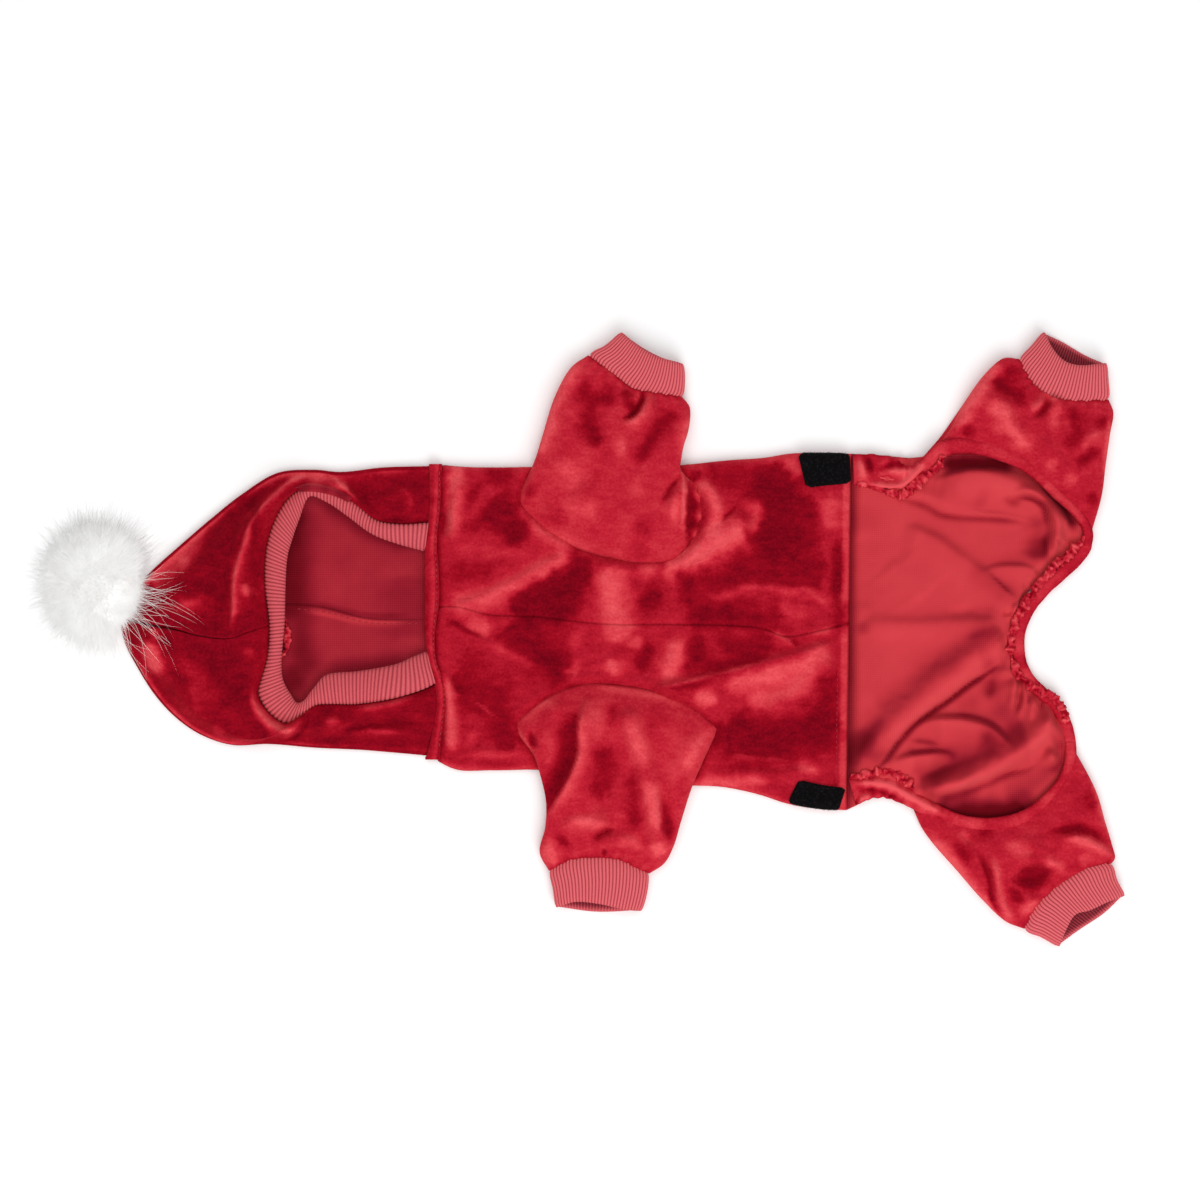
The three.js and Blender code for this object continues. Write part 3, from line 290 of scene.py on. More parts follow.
REAR_FOLDS = runs("""
    4.4 9 9.5  148,-69 158,-58 168,-47.5 180,-36 190,-27 200,-19 210,-11 220,-4.5 231,-1
    -4.2 1.3 1.8  156,-74 164.5,-66.5 170,-59 180,-47.5 190,-40 200,-33 210,-25.5 220,-19 229,-12
    -.7 8 8  146,-66 153,-55 163,-42 175,-30 188,-17 201,-7 215,0 231,4.5
    2.2 5 8  150,7.5 175,7 200,7.5 220,8.5 233,8.5
    -1.2 3.4 3.4  196,13.5 212,14.5 228,12.5
    -2.2 1.3 2.2  168,78 178,76.2 186,74 194,69.4 202,67.4 216,66.4 232,65.4 246,62.8
    1.6 5 1.6  174,81 186,78.4 196,74 208,71.6 226,71
    5.6 1.8 9  182,-48 191,-45 201,-44.5 212,-46 222,-49.5 229.5,-56 236,-61.5
    -2 6 6  213,-55 221,-60 224,-66
    1.6 1.6 4  176,-57 188,-58.5 197,-61
    4.8 2 5.5  166,-70 175,-66 186,-64 196,-64 201,-66
    -2 3 3  183,-78 193,-73 204,-68.5
    6.6 6.5 7  183,-83.5 199,-79.5 214,-74 229,-66.5 240,-60 250,-52 258,-42
    -2.8 1.4 2.6  187,-89.5 200,-85.8 212,-82 222,-78 232,-73.3 243,-70.5 251,-66
    3 2.6 2.6  236.5,-20 235,-29 233,-40
    3 2.4 3  248,-26 245.5,-37 243,-48
    3.4 2.6 3  258,-34 254,-43 250,-50
    -3.4 1.3 2.4  239.8,-23 239,-33 235.5,-44
    -2.6 1.1 1.5  244.6,-27 243,-38
    -2.8 1.1 1.7  252.8,-29.5 249.6,-41
    -2.4 2.6 3.6  222.5,-17 221.5,-35
    2.8 2.5 4  251,-60 255,-64 258,-70
    -2.6 2 3  257,-51 261,-60 262,-72
    2.4 3 2  224,-19 231,-19 238,-21
    2.8 3.6 11  174,62 183,58 192,54 201,47.5 210,40.5 219.5,33.5 230,25 238.5,18.5
    2.4 1.6 6  214,35 222,38 231,39.2 242,38.6 252,36
    2 3 1.2  252.4,36 252.8,46 252.4,58
    -2.4 7 5  248,42 247.5,52 246,62
    4.8 2 5  256.5,42 257.5,52 257,62 253.5,70 247,75
    -1.6 2.4 2.4  229,77 240,74
    1.6 7 5  190,78 215,80 238,80
    -1.2 7 7  152,60 152,14
    1.2 14 12  168,44 185,20
    -1.6 2 2  243,33 241,26
    2 2 2  240,17 233,16
    -2.4 1.4 1.4  236,14 228,13.5
    -2.2 1.4 1.6  262,51 257,55
    -2 1.4 1.5  250.5,34 247,39
    1.8 8 6  178,-84 186,-90""")
LINING_LEFT_FOLDS = runs("""
    5.6 2.2 13  190,85.5 200,89 213,91.3 226,90.8 237,89.3 247,85.5 256,78 262,68 266,55
    3.4 3 4  232,76.5 238,80 245,80.6 251,78 255.4,72 257.6,63 257.6,52 256,42
    -4 2.2 1.5  229,79 234,77 240,77.6 246,76.4 250.6,72 252.4,65 252,57
    1.8 1.4 5  196,69.5 215,68.5 236,65.5 248,63.5""")
LINING_RIGHT_FOLDS = runs("""
    3 4 5  184,-84 200,-80 216,-75
    -1.2 4 4  205,-90 240,-92
    2.4 3 3.5  252,-62 258,-69""")
SLEEVE_LEFT_FOLDS = runs("""
    -3.4 1 1.4  25.6,139 25,131
    -6 1.7 1.3  31,139 30,129 26,123 17,119.5
    4.6 2 5  17.5,116.5 26,119.5 33,126.5 35,139
    3.4 3 2.4  20,126 23,131 21,138
    -3.2 1.2 1.8  55,92 47,83 40,73
    3 4 2  54,84 49,78 44,66
    3.6 3 .9  51.5,98 53.2,88 52.8,68 52,53
    -7 .8 5.4  55.5,48 56,62 56.6,78 56.6,90
    2.4 2 2  50,83 58,79.6 67,74
    2.4 2 2  50,70 58,68.4 68,65.6
    2.2 2 2  50,62 57,59.4 64,53
    -2.4 7 6  6,140 3,126 4,104
    2.2 9 8  -18,134 -12,110 -8,88
    2.2 8 5  20,92 30,104 42,122
    -2.4 4.5 5  22,90 32,104 44,118 52,127
    1.8 8 8  -6,84 6,70
    1.6 5 5  50,128 54,116 52,104
    -1.4 6 6  -30,80 -20,66
    2 4 3  -20,122 -10,144 -2,153""")
SLEEVE_RIGHT_FOLDS = runs("""
    6.4 13 .9  2,-28 -1.5,-38 -4,-50 -3.2,-60 -5.4,-68 -9.5,-77 -15.5,-88 -21.5,-101
    -3 .8 5  -7,-44 -7.4,-60 -11,-72 -18,-84 -22,-94
    4.2 6 5  20,-36 26,-52 32,-72 37,-96 41.5,-120
    -2.4 5 5  12,-62 12,-82 6,-98
    3.6 4 4  -16,-104 -6,-100.5 6,-101 16,-104
    -4.2 1.3 1.8  17.5,-103 10,-107 2,-111.5
    3 3 3  8,-112 20,-110 32,-116
    -3 1 1  9.6,-114 10,-122
    -2.6 3.5 4  42,-76 44,-96 46,-114
    2.2 6 5  62,-52 52,-70 47,-92
    -5 2.2 2.2  -31.5,-49 -30,-56 -27.5,-63
    2.6 2 2  -35,-50 -33,-57 -28,-64
    2.4 4 3  -22,-108 -21,-118 -16,-127
    1.8 5 5  -14,-33 -20,-44
    1.8 4 4  66,-45 72,-50""")
LEG_LEFT_FOLDS = runs("""
    -3.8 1.2 1.8  251.5,137 253.5,129 250,123.5 243,119.5
    3.2 3 2  243,124 249,128 250,134
    3 3 4  255,122 257.5,130 257,136
    -2.6 4.5 4  220,148 230,139 241,127
    3.2 5 6  214,132 226,128 232,116 243,105
    2.2 5 5  203,112 212,130 222,146
    2.6 3 4  288,114 276,108 266,98
    -1.8 3 4  290,108 278,103 270,93
    -1.8 4 4  258,116 262,104 266,92
    2 4 4  246,112 252,102 250,96
    -1.8 1.4 1.4  268,133 266,124""")
LEG_RIGHT_FOLDS = runs("""
    -4.6 2.2 1.2  212,-112 217,-122 221.5,-132 222.5,-142 227.5,-152 235,-162
    3.6 1.4 5  218.5,-115 224,-126 226,-140 231,-150 240,-159
    -4.8 4 5  232,-136 240,-130 250,-129 258,-133
    2.6 4 3  233,-122 243,-121 254,-123 262,-129
    4 3 4  255,-112 266,-109 277,-113 286,-118 292,-123
    -3 3 2.4  254,-106 268,-104 280,-107 289,-113
    2.4 4 4  190,-108 208,-132 226,-153
    3 4 5  233,-148 242,-145 252,-140
    -1.8 1.4 1.4  206,-107 212,-114
    1.8 4 3  236,-108 246,-114 256,-118
    -1.6 1.4 1.4  258,-137 255,-131""")
HOOD_FOLDS = runs("""
    5.6 1.6 5  -197,0 -193,8 -191.6,20 -191.4,30 -189.6,40 -186.6,50 -182.4,62 -177.4,70 -169.6,79 \
        -162.4,85 -154,89.4 -147,91.6
    5 1.3 3.4  -150,91.4 -143,90.2 -136.6,86 -130.4,80.4 -125.6,75 -122,68.6
    -3.2 5 2  -202,8 -198.5,24 -198,36 -195.5,48 -190,62 -183,73 -174,82
    -3 4 2  -138,92 -128,84 -121,74 -114,66
    3.4 2.4 2.6  -190,31 -186.5,28 -184.5,22 -180,18
    -2.6 2.4 2.4  -181,74 -181.5,56 -181,38 -180,22
    4.6 3 3.4  -178,-24 -181.5,-33 -177,-42 -170,-48.6 -163,-51 -157.5,-46.5 -154.5,-41
    -4.2 1.6 1.2  -151.5,-38.5 -153.5,-45 -157.5,-51.5 -164,-55.8 -171,-58
    3.4 3 4  -132,-39.5 -118,-37.5 -104,-34.5 -90,-30
    3.2 3 3  -148,-43.5 -140,-46 -131,-44
    -3.2 2 2.6  -140,-51.5 -122,-47.5 -106,-46 -90,-45
    2.8 2.4 3  -134,-52 -116,-50.6 -96,-51.6
    -2.4 2.4 2.4  -229,17 -230.5,8 -228.5,0 -226,-8
    4 6 5  -245,4 -238,-8 -232,-24
    3.2 5 4  -226,15 -213,20.5 -200,22
    -2.2 4 4  -224,10 -208,9 -196,8
    1.6 2 2  -228,5 -214,2 -200,-.5 -188,1.4 -176,5.6
    -2.4 12 10  -212,-12 -198,-18 -188,-30
    2 9 8  -222,-30 -208,-48
    1.8 6 5  -222,46 -208,58 -194,70
    2.4 2 2.4  -108,69 -108.5,76 -103,80.5 -97.5,79 -96,72
    -2.4 2 2  -110,66 -100,65
    1.6 3 3  -128,90 -110,91.5 -94,92
    -2 4 5  -203,60 -204,46 -200,34
    1.8 4 4  -190,-4 -180,-8""")
# ---- tone strokes: how much lighter the cloth's colour is made, and the rest as for a fold. On the velour they hold the pile's nap patches together with painted shade and painted highlights along folds, seams and edges; on the knit they are painted shade and painted light ----
BELLY_NAP_AND_PAINTED_SHADING = runs("""
    .3 5 7  -76,94 -66,93
    .34 4 5  -70,96 -71.5,80 -72.5,64 -76,52
    -.34 2 2.4  -78.5,74 -78.5,54
    -.26 5 5  -60,91 -46,91 -34,90
    -.2 6 6  -66,82 -58,76
    .1 6 5  -56,80 -44,76
    -.12 6 6  -66,66 -58,58
    -.62 9 7  -58,76 -48,69 -40,61 -31,53
    -.4 5 4  -46,56 -33,55
    .36 3 3.4  -39,77 -34,68 -25,59 -13,52.5 -4,48.5
    .12 4 4  -76,47.5 -50,47.5 -26,46
    -.14 6 5  -77,36 -60,36 -46,38
    .36 6 6  -78,15 -62,20 -48,25 -32,33 -18,41 -6,47.5
    -.7 6 9  -42,11 -32,20 -20,28 -6,38 4,43
    -.52 9 9  -36,6 -28,12 -14,22 -2,32
    -.56 9 8  -44,9 -34,-4 -22,-13 -8,-22
    -.44 6 6  -44,14 -34,17 -22,16 -8,14
    .1 5 5  -26,6 -18,2
    .14 6 6  -10,2 0,-4
    .2 5 5  -10,-14 -2,-20
    .34 5 5  -68,9 -58,6 -50,5
    -.4 1.2 1.4  -80,12 -70,7 -60,1.4 -54,-1.4
    -.24 10 10  -74,-12 -64,-20 -60,-44
    -.16 8 8  -52,-26 -42,-36
    .26 3 4  -56,-1 -45,-6.5 -33,-12.5 -22,-18 -10,-22
    .34 .8 .9  -68,-32 -58,-37 -50,-43 -44,-47
    -.4 2 2  -73,-18 -70,-26 -67,-33
    .54 3.4 2.6  -80,-16 -76,-28 -74.5,-42 -74,-56 -72.5,-66
    .14 5 5  -66,-54 -58,-58
    .16 2.2 2.4  -69,-64 -50,-64.4 -30,-64.6
    -.12 2 2  -68,-69.5 -30,-70
    -.2 7 7  -44,-52 -38,-60
    .52 8 7.5  14,42 14,30 15,18 17,6 20,-4
    .4 5 5  15,-10 15,-22
    .26 5 4  26,36 36,38 44,38.6
    .3 4 4  28,2 27,-8
    -.42 6 6  27,24 33,22 42,18
    -.16 6 5  48,22 60,20
    -.46 4 4.5  35,3 33,-8 29,-22
    .52 5 4.6  51,4 50,-6 46,-16 40,-25
    -.46 4 4  61.5,5 61,-5 59,-15
    -.26 6 6  72,-4 92,-4 106,-4
    .08 5 4  76,3 92,1
    -.3 2.4 2.4  62,-16 84,-12.6 104,-8.5
    .24 .9 .9  38,-27.5 60,-22.5 84,-16.4 104,-10.6
    -.28 1.4 2  42,-28.6 58,-25.6 72,-22.6
    .44 4 6  74,-26 94,-22 112,-16 128,-9 137,-4
    .34 6 6  86,-34 102,-33 116,-25 128,-15
    .6 4 4  58,-32 67,-33.5 73,-36
    .26 1.4 2  98,4.4 107,1.4 114,-3.4 119,-3.6
    .22 2 1.6  120,2 132,4 140,7.5
    -.34 1.4 1.2  112,0 117,-5.4
    -.62 10 10  74,-50 90,-55 110,-54 128,-50 138,-42
    -.36 6 6  133,-16 132,-30 131,-56
    -.4 3 4  75,-43 72,-54 69,-64
    -.2 6 5  84,-60 110,-61
    .26 1.2 1.6  70,-63.8 88,-65 104,-66.4 116,-68.6
    -.14 3 3  72,-70 100,-71
    .4 3 3  57,-79 84,-79 104,-78
    .34 3 3  112,-70 122,-71.5 130,-75
    .58 7 7  40,38.5 54,41.5 66,49 78,56 90,63
    .4 4.6 4.6  86,70 93,72.5 97,68 94,62
    .46 3 3.6  56,87 63,84 69,78.6 72,71 69,58 64,51
    -.36 4 4  77,70 80,67
    -.62 12 10  104,97 103,76 104,56 108,40
    -.46 8 8  118,80 120,64 118,48
    -.34 10 9  48,30 70,34 92,36 112,36 134,36
    -.3 7 7  52,14 72,11 92,13 112,13
    .34 6 6  137,82 134,70 133,56
    -.5 2.6 3  139,58 138.6,40 138,16
    .24 2.4 2.6  62,25 74,23 86,27 100,28.4 112,25.4 120,27 130,20.6 137,13
    .16 6 5  90,17 108,15 126,15
    -.18 5 5  72,14 82,17
    -.16 8 6  62,92 84,88 100,92
    .4 5 5  108,100 113,92 117,86
    -.3 2 2  56,90 64,89.5
    -.5 1.4 1.4  55.4,88.6 61,86.6
    .12 6 6  70,33 56,31
    -.34 6 5  139,24 140,12 137,0
    .36 6 6  94,93 102,90 110,84
    -.3 6 6  -49,-34 -46,-48 -46,-62
    -.4 4 5  84,-40 85,-52 83,-62
    -.2 6 5  48,-15 64,-16 82,-20
    .4 4 4  91,54 93,64 91,72
    .24 5 5  62,37 72,36 84,36""")
# painted shading on the rear's knit: darker in its creases and hollows, lighter on crests that face the light
REAR_PAINTED_SHADING = runs("""
    -.36 6 6  144,-74 149,-64 157,-51 166,-40
    -.24 8 7  158,-42 172,-33 186,-22 201,-10 216,-1 232,4
    -.24 3 3  204,-1 216,2.4 230,5.4
    .16 4 4  156,-64 168,-53 180,-42 192,-32 204,-23 216,-13 228,-5
    -.6 1.3 1.6  158,-73 165,-66 170,-59 180,-48 190,-40.6 200,-33.6 210,-26 220,-19.6 228,-13.6
    -.1 2 2.2  158,11 175,10.4 200,10.8 218,12 228,12
    -.42 1.1 1.9  168,78 178,76.2 186,74 194,69.4 202,67.4 216,66.4 232,65.4 246,62.8
    -.2 3 3  204,15 220,15.6 232,13
    -.3 4 3  152,11 152,0
    -.2 6 6  200,-38 220,-34
    -.36 1.4 1.2  190,-42.4 201,-42 212,-43 222,-46 229,-51 236,-59
    .12 3 3  186,-47 200,-46.4 212,-48 222,-53
    -.4 5 5  214,-50 221,-56 223,-64
    -.2 2 2  176,-55.4 196,-59
    .18 3 3  172,-69 184,-66.6 196,-66
    -.34 1.2 1.2  168,-66.4 178,-63 190,-61.8 199,-62.6 202,-66 198,-70
    -.24 3 3  182,-79 192,-74.5 206,-69 218,-64
    .22 4 4  188,-84.6 204,-80 220,-73.4 234,-66 246,-57.4 256,-46
    -.44 1.4 2.6  189,-89 200,-86 212,-82.6 222,-78.6 232,-74 244,-71
    -.28 7 5  200,-92 220,-95 240,-96 252,-88
    -.34 4 4  259,-52 262,-62 262,-74
    -.34 1.2 1.8  239.4,-25 239,-34 236,-43
    -.3 1 1.2  244.4,-29 243,-37
    -.34 1 1.3  252.4,-31 250,-39
    -.24 3 3  222,-20 221.6,-33
    -.34 .9 .9  219,38.4 225,32.4 232,25.6 238.6,21
    -.08 2.4 2.4  178,62.6 190,57.6 200,50.6 212,41.6
    -.16 5 1.2  216,38.4 222,40.4 232,41.6 250,40
    -.3 1.6 1.1  252,38 252.2,48 251.8,60
    -.4 6 7  246,38 248,54 245,70
    -.34 1.6 1.2  253.4,42 253.6,54 254,64
    -.1 8 8  152,74 156,56
    -.3 2 2  226,77 240,73.6
    -.24 8 6  226,-10 214,-14
    -.36 9 8  147,-48 156,-62 166,-72
    -.2 9 7  208,39 224,29 238,18
    -.24 8 8  224,-10 226,-30 232,-44 240,-54
    -.34 9 8  228,-88 247,-81 260,-68
    -.3 5 5  182,-84 200,-88 222,-89
    -.24 5 5  254,-50 266,-60
    -.2 3 3  194,-60 206,-66
    -.3 15 13  178,-74 200,-66 224,-60 244,-54""")
# painted shadow on the lining in the hollows under the legs' casings, with a little painted light
LINING_LEFT_PAINTED_SHADING = runs("""
    -.72 4 4.4  192,93.5 208,96.5 225,96 240,94
    -.7 3.2 3.4  248,87.5 254,82.5 261,74 267,63 269,54
    .12 7 5  200,82 222,84 242,82
    -.5 1.6 1.6  229,79 234,77 240,77.6 246,76.4 250.6,72 252.4,65 252,57
    -.16 6 6  222,74 212,78""")
LINING_RIGHT_PAINTED_SHADING = runs("""
    -.66 6 5  188,-91 206,-96.5 226,-98.4 246,-95
    -.3 6 6  214,-90 236,-92 250,-86
    -.36 4 4  259,-66 260,-76
    .08 5 5  206,-82 226,-80""")
SLEEVE_LEFT_NAP_AND_PAINTED_SHADING = runs("""
    .4 3 4  -26,96 -20,118 -10,142 -1,152
    .26 7 7  -16,100 -10,90 -2,80
    .2 6 6  -16,76 -2,70 10,68
    -.34 5 5  -4,144 1,132 2,116 4,104
    -.3 6 5  4,138 12,130 14,124
    -.46 4 4  4,112 6,104
    -.56 2.4 2.4  19,131 25,127 27,122
    -.8 1.7 1.3  31,139 30,129 26,123 17,119.5
    -.34 3 3  20,137 24,130
    .4 2 2.4  19,116 26,119 31.6,125 33,133
    -.44 4.4 4.4  51,127 42,117 34,106 26,94
    .3 3 4  20,112 18,96
    .3 4 4  55,124 54,106 51,97
    .34 2 2  20,143 9,151
    -.3 4 4  -33,84 -27,78
    -.12 6 5  -22,70 -8,60
    .16 6 6  20,80 34,84
    -.3 1.3 1.6  53,91 46,81.6 40,71
    .34 3 2.6  51,82 48.4,70 50,58
    .44 1.3 1  52.6,96 53.4,84 52.8,68 52,54
    -1.1 1.1 4  55.6,48 56,62 56.6,76 57,90
    .34 1.9 1.9  50,83 58,79.6 67,74
    .34 1.9 1.9  50,70 58,68.4 68,65.6
    .3 1.9 1.9  50,62 57,59.4 64,53
    -.16 6 6  24,60 40,56
    -.14 4 4  18,47 40,46
    .2 3 3  -24,62 -10,54 6,48.6
    .12 7 7  38,128 30,134
    -.16 5 5  -18,130 -14,120""")
SLEEVE_RIGHT_NAP_AND_PAINTED_SHADING = runs("""
    -.85 1.2 7  -5,-36 -6,-44 -6.2,-56 -7.6,-66 -12,-77 -18,-88 -24,-100
    .34 4 1  0,-34 -3,-48 -2.4,-60 -4.8,-68.6 -9,-78 -15,-89 -21,-100
    .22 5 5  2,-32 6,-44 6,-56
    -.34 6 6  8,-56 10,-74 8,-92
    -.3 4 4  16,-34 12,-48
    .4 4 4  22,-40 28,-56 33,-74
    .6 4 3.6  33,-74 37,-92 40,-108
    .4 4 4  38,-110 42,-122
    -.3 4 4  24,-70 26,-92 28,-108
    -.44 2.6 3  42,-84 44,-100 46,-116
    .14 8 7  58,-52 50,-68 46,-80
    .3 3 3  70,-47 60,-60 54,-78
    .4 3 3  -13,-104 -4,-100.6 8,-101 15,-104
    -.5 1.6 2  17,-104 9,-107.6 2,-111
    .28 3 3  14,-112 26,-112 34,-117
    .4 3 4  -20,-108 -19,-118 -14,-125
    -.34 4 4  -10,-107 -16,-113
    -.34 1.2 1.2  9.6,-115 10,-120
    .26 3 3  -34,-47 -26,-38 -14,-31
    .16 4 4  -22,-46 -18,-60 -22,-74
    -.6 2 2  -31,-50 -29.6,-56 -27.6,-62
    .34 1.4 1.2  -37,-50 -34,-57 -28.6,-64
    .22 2 2  2,-27.4 20,-28.6 40,-32.6 58,-40
    -.14 5 5  30,-42 46,-44""")
LEG_LEFT_NAP_AND_PAINTED_SHADING = runs("""
    .44 4 4  203,112 212,130 222,146 230,152
    -.44 4.4 4.4  219,144 228,139 237,132 244,126
    -.3 4 4  228,148 240,143
    .44 4.4 5  216,126 227,125 231,115 240,106 247,100
    -.3 4 4  206,112 214,117
    -.46 1.4 2.6  252,135 253.4,129 250,124 244,120.4
    .34 2.6 2.4  242,124 248,127.6 250,133
    .24 3 3  258,132 257,120 252,112
    -.26 6 6  266,128 268,112 262,102
    -.34 4 4  282,124 284,112
    .22 2.6 2.6  262,122 266,112
    .3 2.4 3  288,116 276,108.4 266,98
    -.3 3 3  286,104 274,99 268,90
    .26 3 4  262,90 270,84
    .22 3 3  252,98 258,92
    .34 2 2  288,126 286,104 284,84
    -.3 4 4  280,80 276,72
    .2 3 3  244,134 262,130
    -.2 4 4  234,112 226,108""")
LEG_RIGHT_NAP_AND_PAINTED_SHADING = runs("""
    .44 3.4 4  188,-106 204,-128 220,-146 236,-160
    -.3 4 3  200,-110 212,-126
    -.6 2.6 1.4  213,-114 218,-124 221.6,-134 222.6,-144 228,-153 235,-161
    .38 1.6 3.4  219.6,-114 225,-126 227,-140 232,-150 240,-158
    -.66 5 5  234,-137 242,-132 250,-130 257,-133
    -.4 4 4  232,-145 238,-138
    .26 4 4  226,-112 236,-116 246,-117
    .34 4 5  236,-152 244,-147 250,-142
    .3 3 3  246,-122 258,-124 264,-130
    -.44 3 2.4  250,-107 264,-105 278,-107 288,-113
    .46 2 3  258,-112 268,-109.6 278,-113 287,-118.6 292,-123
    .26 4 4  268,-122 280,-120
    -.2 6 6  272,-82 280,-96
    .34 2 2  276,-74 284,-96 290,-114
    -.24 4 4  214,-106 226,-106
    .24 3 3  204,-106 212,-112""")
HOOD_NAP_AND_PAINTED_SHADING = runs("""
    .4 2.4 3  -250,24 -238,37 -224,49.6 -208,63 -190,77 -172,88.6 -152,92
    .26 5 5  -224,46 -214,38
    .16 5 4  -206,62 -196,56
    -.3 5 6  -184,84 -194,71 -204,55 -205,40
    -.62 13 2  -199,10 -197,34 -195,46 -190,59 -183,71 -174,81
    -.24 5 5  -212,36 -206,28
    -.16 6 6  -236,28 -230,14
    .46 4 4  -226,14 -217,19 -207,22 -199,21.6
    .3 4 4  -206,25 -198,18
    -.34 4 4  -226,8 -210,7.6 -196,8
    .24 .9 .9  -240,6.4 -230,5.6 -220,3.6 -210,1.2 -200,-.4 -190,1 -181,4.4 -174,7
    .12 2 9  -196,2 -192,14 -192,30 -189,42 -184,58 -176,72
    .42 6 6  -242,26 -228,39 -213,52 -200,64 -187,77
    .4 5 5  -156,85 -146,86 -136,84 -128,80
    -.4 4 4  -190,11 -182,9 -173,7
    .46 1.7 2.6  -197,1 -193,8 -192,20 -192,30 -190,40 -187,50 -183,62 -178,70 -170,79 -163,85 \
        -155,90 -148,92.4
    -.18 4 4  -186,66 -187,50 -187,40
    .16 3 3  -184,62 -185,46
    .54 2.4 2.4  -189,30 -186,27 -184,21.6
    -.4 3 3  -180,76 -180,56 -180,40 -179,26
    -.44 3 3  -184,16 -180,9
    -.3 3 3  -190,14 -188,6
    .44 3 3  -168,84 -158,89 -147,90 -138,86
    .44 1.2 1.2  -143,90.6 -137,86.6 -131,81 -126,75.6 -123,70
    -.5 2.4 2.4  -134,88 -126,80 -119,71 -112,65
    -.3 2 2.4  -112,65 -102,64.6 -92,65
    .28 1.6 1.6  -106,80.6 -98.6,80 -96.4,73 -99,67
    -.24 4 4  -104,72 -100,74
    .26 2 2.6  -128,92 -110,93 -92,93
    -.12 7 7  -126,86 -112,82
    .6 5 5.4  -241,2 -236,-8 -231.6,-22
    .4 3 3  -240,4 -231,3
    -.44 2 2  -229.4,3 -228,-4
    -.34 10 8  -222,-2 -206,-8 -192,-18
    -.46 9 8  -208,-16 -194,-26 -190,-44
    .24 5 5  -220,-22 -213,-34 -210,-46
    .2 4 4  -206,-49 -196,-51
    .3 3.4 3.4  -191,-8 -178,-7
    -.2 6 5  -226,-36 -232,-24
    .24 7 6  -224,-8 -214,-20 -200,-28 -190,-30
    .36 5 4  -247,2 -240,-12 -233,-22
    .3 5 4  -214,30 -204,40 -200,52
    .36 2 2.4  -250,-8 -240,-26 -226,-42 -212,-52 -196,-57.6 -178,-57
    .66 2.6 3  -181,-24 -182,-33 -177,-42 -170,-48 -163,-50.4 -158,-46.6 -155.4,-42
    -.34 3 3  -184,-50 -172,-54.6
    -.6 1.6 1.6  -151,-39.6 -154,-47 -159,-52.6 -166,-56
    -.4 3 3  -148,-39 -136,-38.6
    .4 3 3  -146,-43.6 -139,-46 -132,-44.6
    .4 3 3  -130,-38.6 -116,-37.4 -102,-34 -90,-30.6
    -.44 2 2  -136,-51.4 -121,-47.4 -106,-46 -90,-45
    .3 2.2 2.4  -128,-51.6 -112,-51.4 -96,-53
    -.36 4 4  -152,-46 -142,-52
    -.16 3 3  -150,-57 -120,-58.6 -94,-59
    .26 1.6 1.6  -168,-57 -150,-60 -120,-61.6 -92,-63""")
# painted shading inside the hood: darker beside the rib band and under the crown, with a lighter strip along
# the nape seam
NAPE_PAINTED_SHADING = runs("""
    -.66 6 4.5  -163,-12 -161,-24 -156,-31
    -.6 5 5  -161,72 -162,56 -163,40 -163,24 -163,8
    -.4 7 6  -156,74 -158,52 -158,20 -157,-4 -153,-22
    -.3 3 4  -150,77 -140,72 -130,65 -120,58.6 -104,53 -92,49
    -.5 1 1.3  -166,19 -155,18.8 -145,17.6 -132,14.4 -120,12 -100,11.6 -90,11.4
    .3 1.3 1.5  -164,15.6 -155,15.2 -144,13.6 -132,10.8 -120,9 -105,8.4 -92,8.4
    -.14 14 14  -98,36 -98,-2
    -.2 4 5  -146,-15 -130,-15 -110,-13 -98,-8""")


# ---- curves and surfaces ----
def hermite(knots, values, at):
    """A smooth curve through values at knots, with slopes from the neighbours."""
    slopes = np.gradient(values, knots, axis=0, edge_order=1)
    i = np.clip(np.searchsorted(knots, at, side="right") - 1, 0, len(knots) - 2)
    span = knots[i + 1] - knots[i]
    t = np.clip((at - knots[i]) / span, 0, 1)
    if values.ndim > 1:
        span, t = span[..., None], t[..., None]
    h = t * t * (3 - 2 * t)
    return (values[i] * (1 - h) + values[i + 1] * h
            + span * t * (1 - t) * (slopes[i] * (1 - t) - slopes[i + 1] * t))


def column(rows, key, name, at):
    """One column of a table at places along another."""
    knots = rows[key] if rows[key][0] < rows[key][-1] else rows[key][::-1]
    values = rows[name] if rows[key][0] < rows[key][-1] else rows[name][::-1]
    return hermite(knots, values, np.asarray(at, float))


def line(*coordinates):
    """A smooth line through points, as a function of the share of its length."""
    points = np.stack(coordinates, -1).astype(float)
    steps = np.linalg.norm(np.diff(points, axis=0), axis=1) ** 0.5
    knots = np.r_[0, np.cumsum(steps)]
    dense = hermite(knots, points, np.linspace(0, knots[-1], 30 * len(points)))
    length = np.r_[0, np.cumsum(np.linalg.norm(np.diff(dense, axis=0), axis=1))]
    share = length / length[-1]

    def place(t):
        return np.stack([np.interp(t, share, dense[:, k]) for k in range(dense.shape[1])], -1)

    place.length = length[-1]
    return place


def plan(rows):
    return line(rows["x"], rows["y"])


def coons(near, far, left, right):
    """The surface between four lines: near and far run across, left and right run along."""
    def place(across, along):
        a, c = along[..., None], across[..., None]
        ruled = left(along) * (1 - c) + right(along) * c
        crossed = near(across) * (1 - a) + far(across) * a
        corners = ((near(0.0) * (1 - c) + near(1.0) * c) * (1 - a) + (far(0.0) * (1 - c) + far(1.0) * c) * a)
        return ruled + crossed - corners

    return place


def straight(start, end):
    start, end = np.asarray(start, float), np.asarray(end, float)
    return lambda t: start + (end - start) * np.asarray(t, float)[..., None]


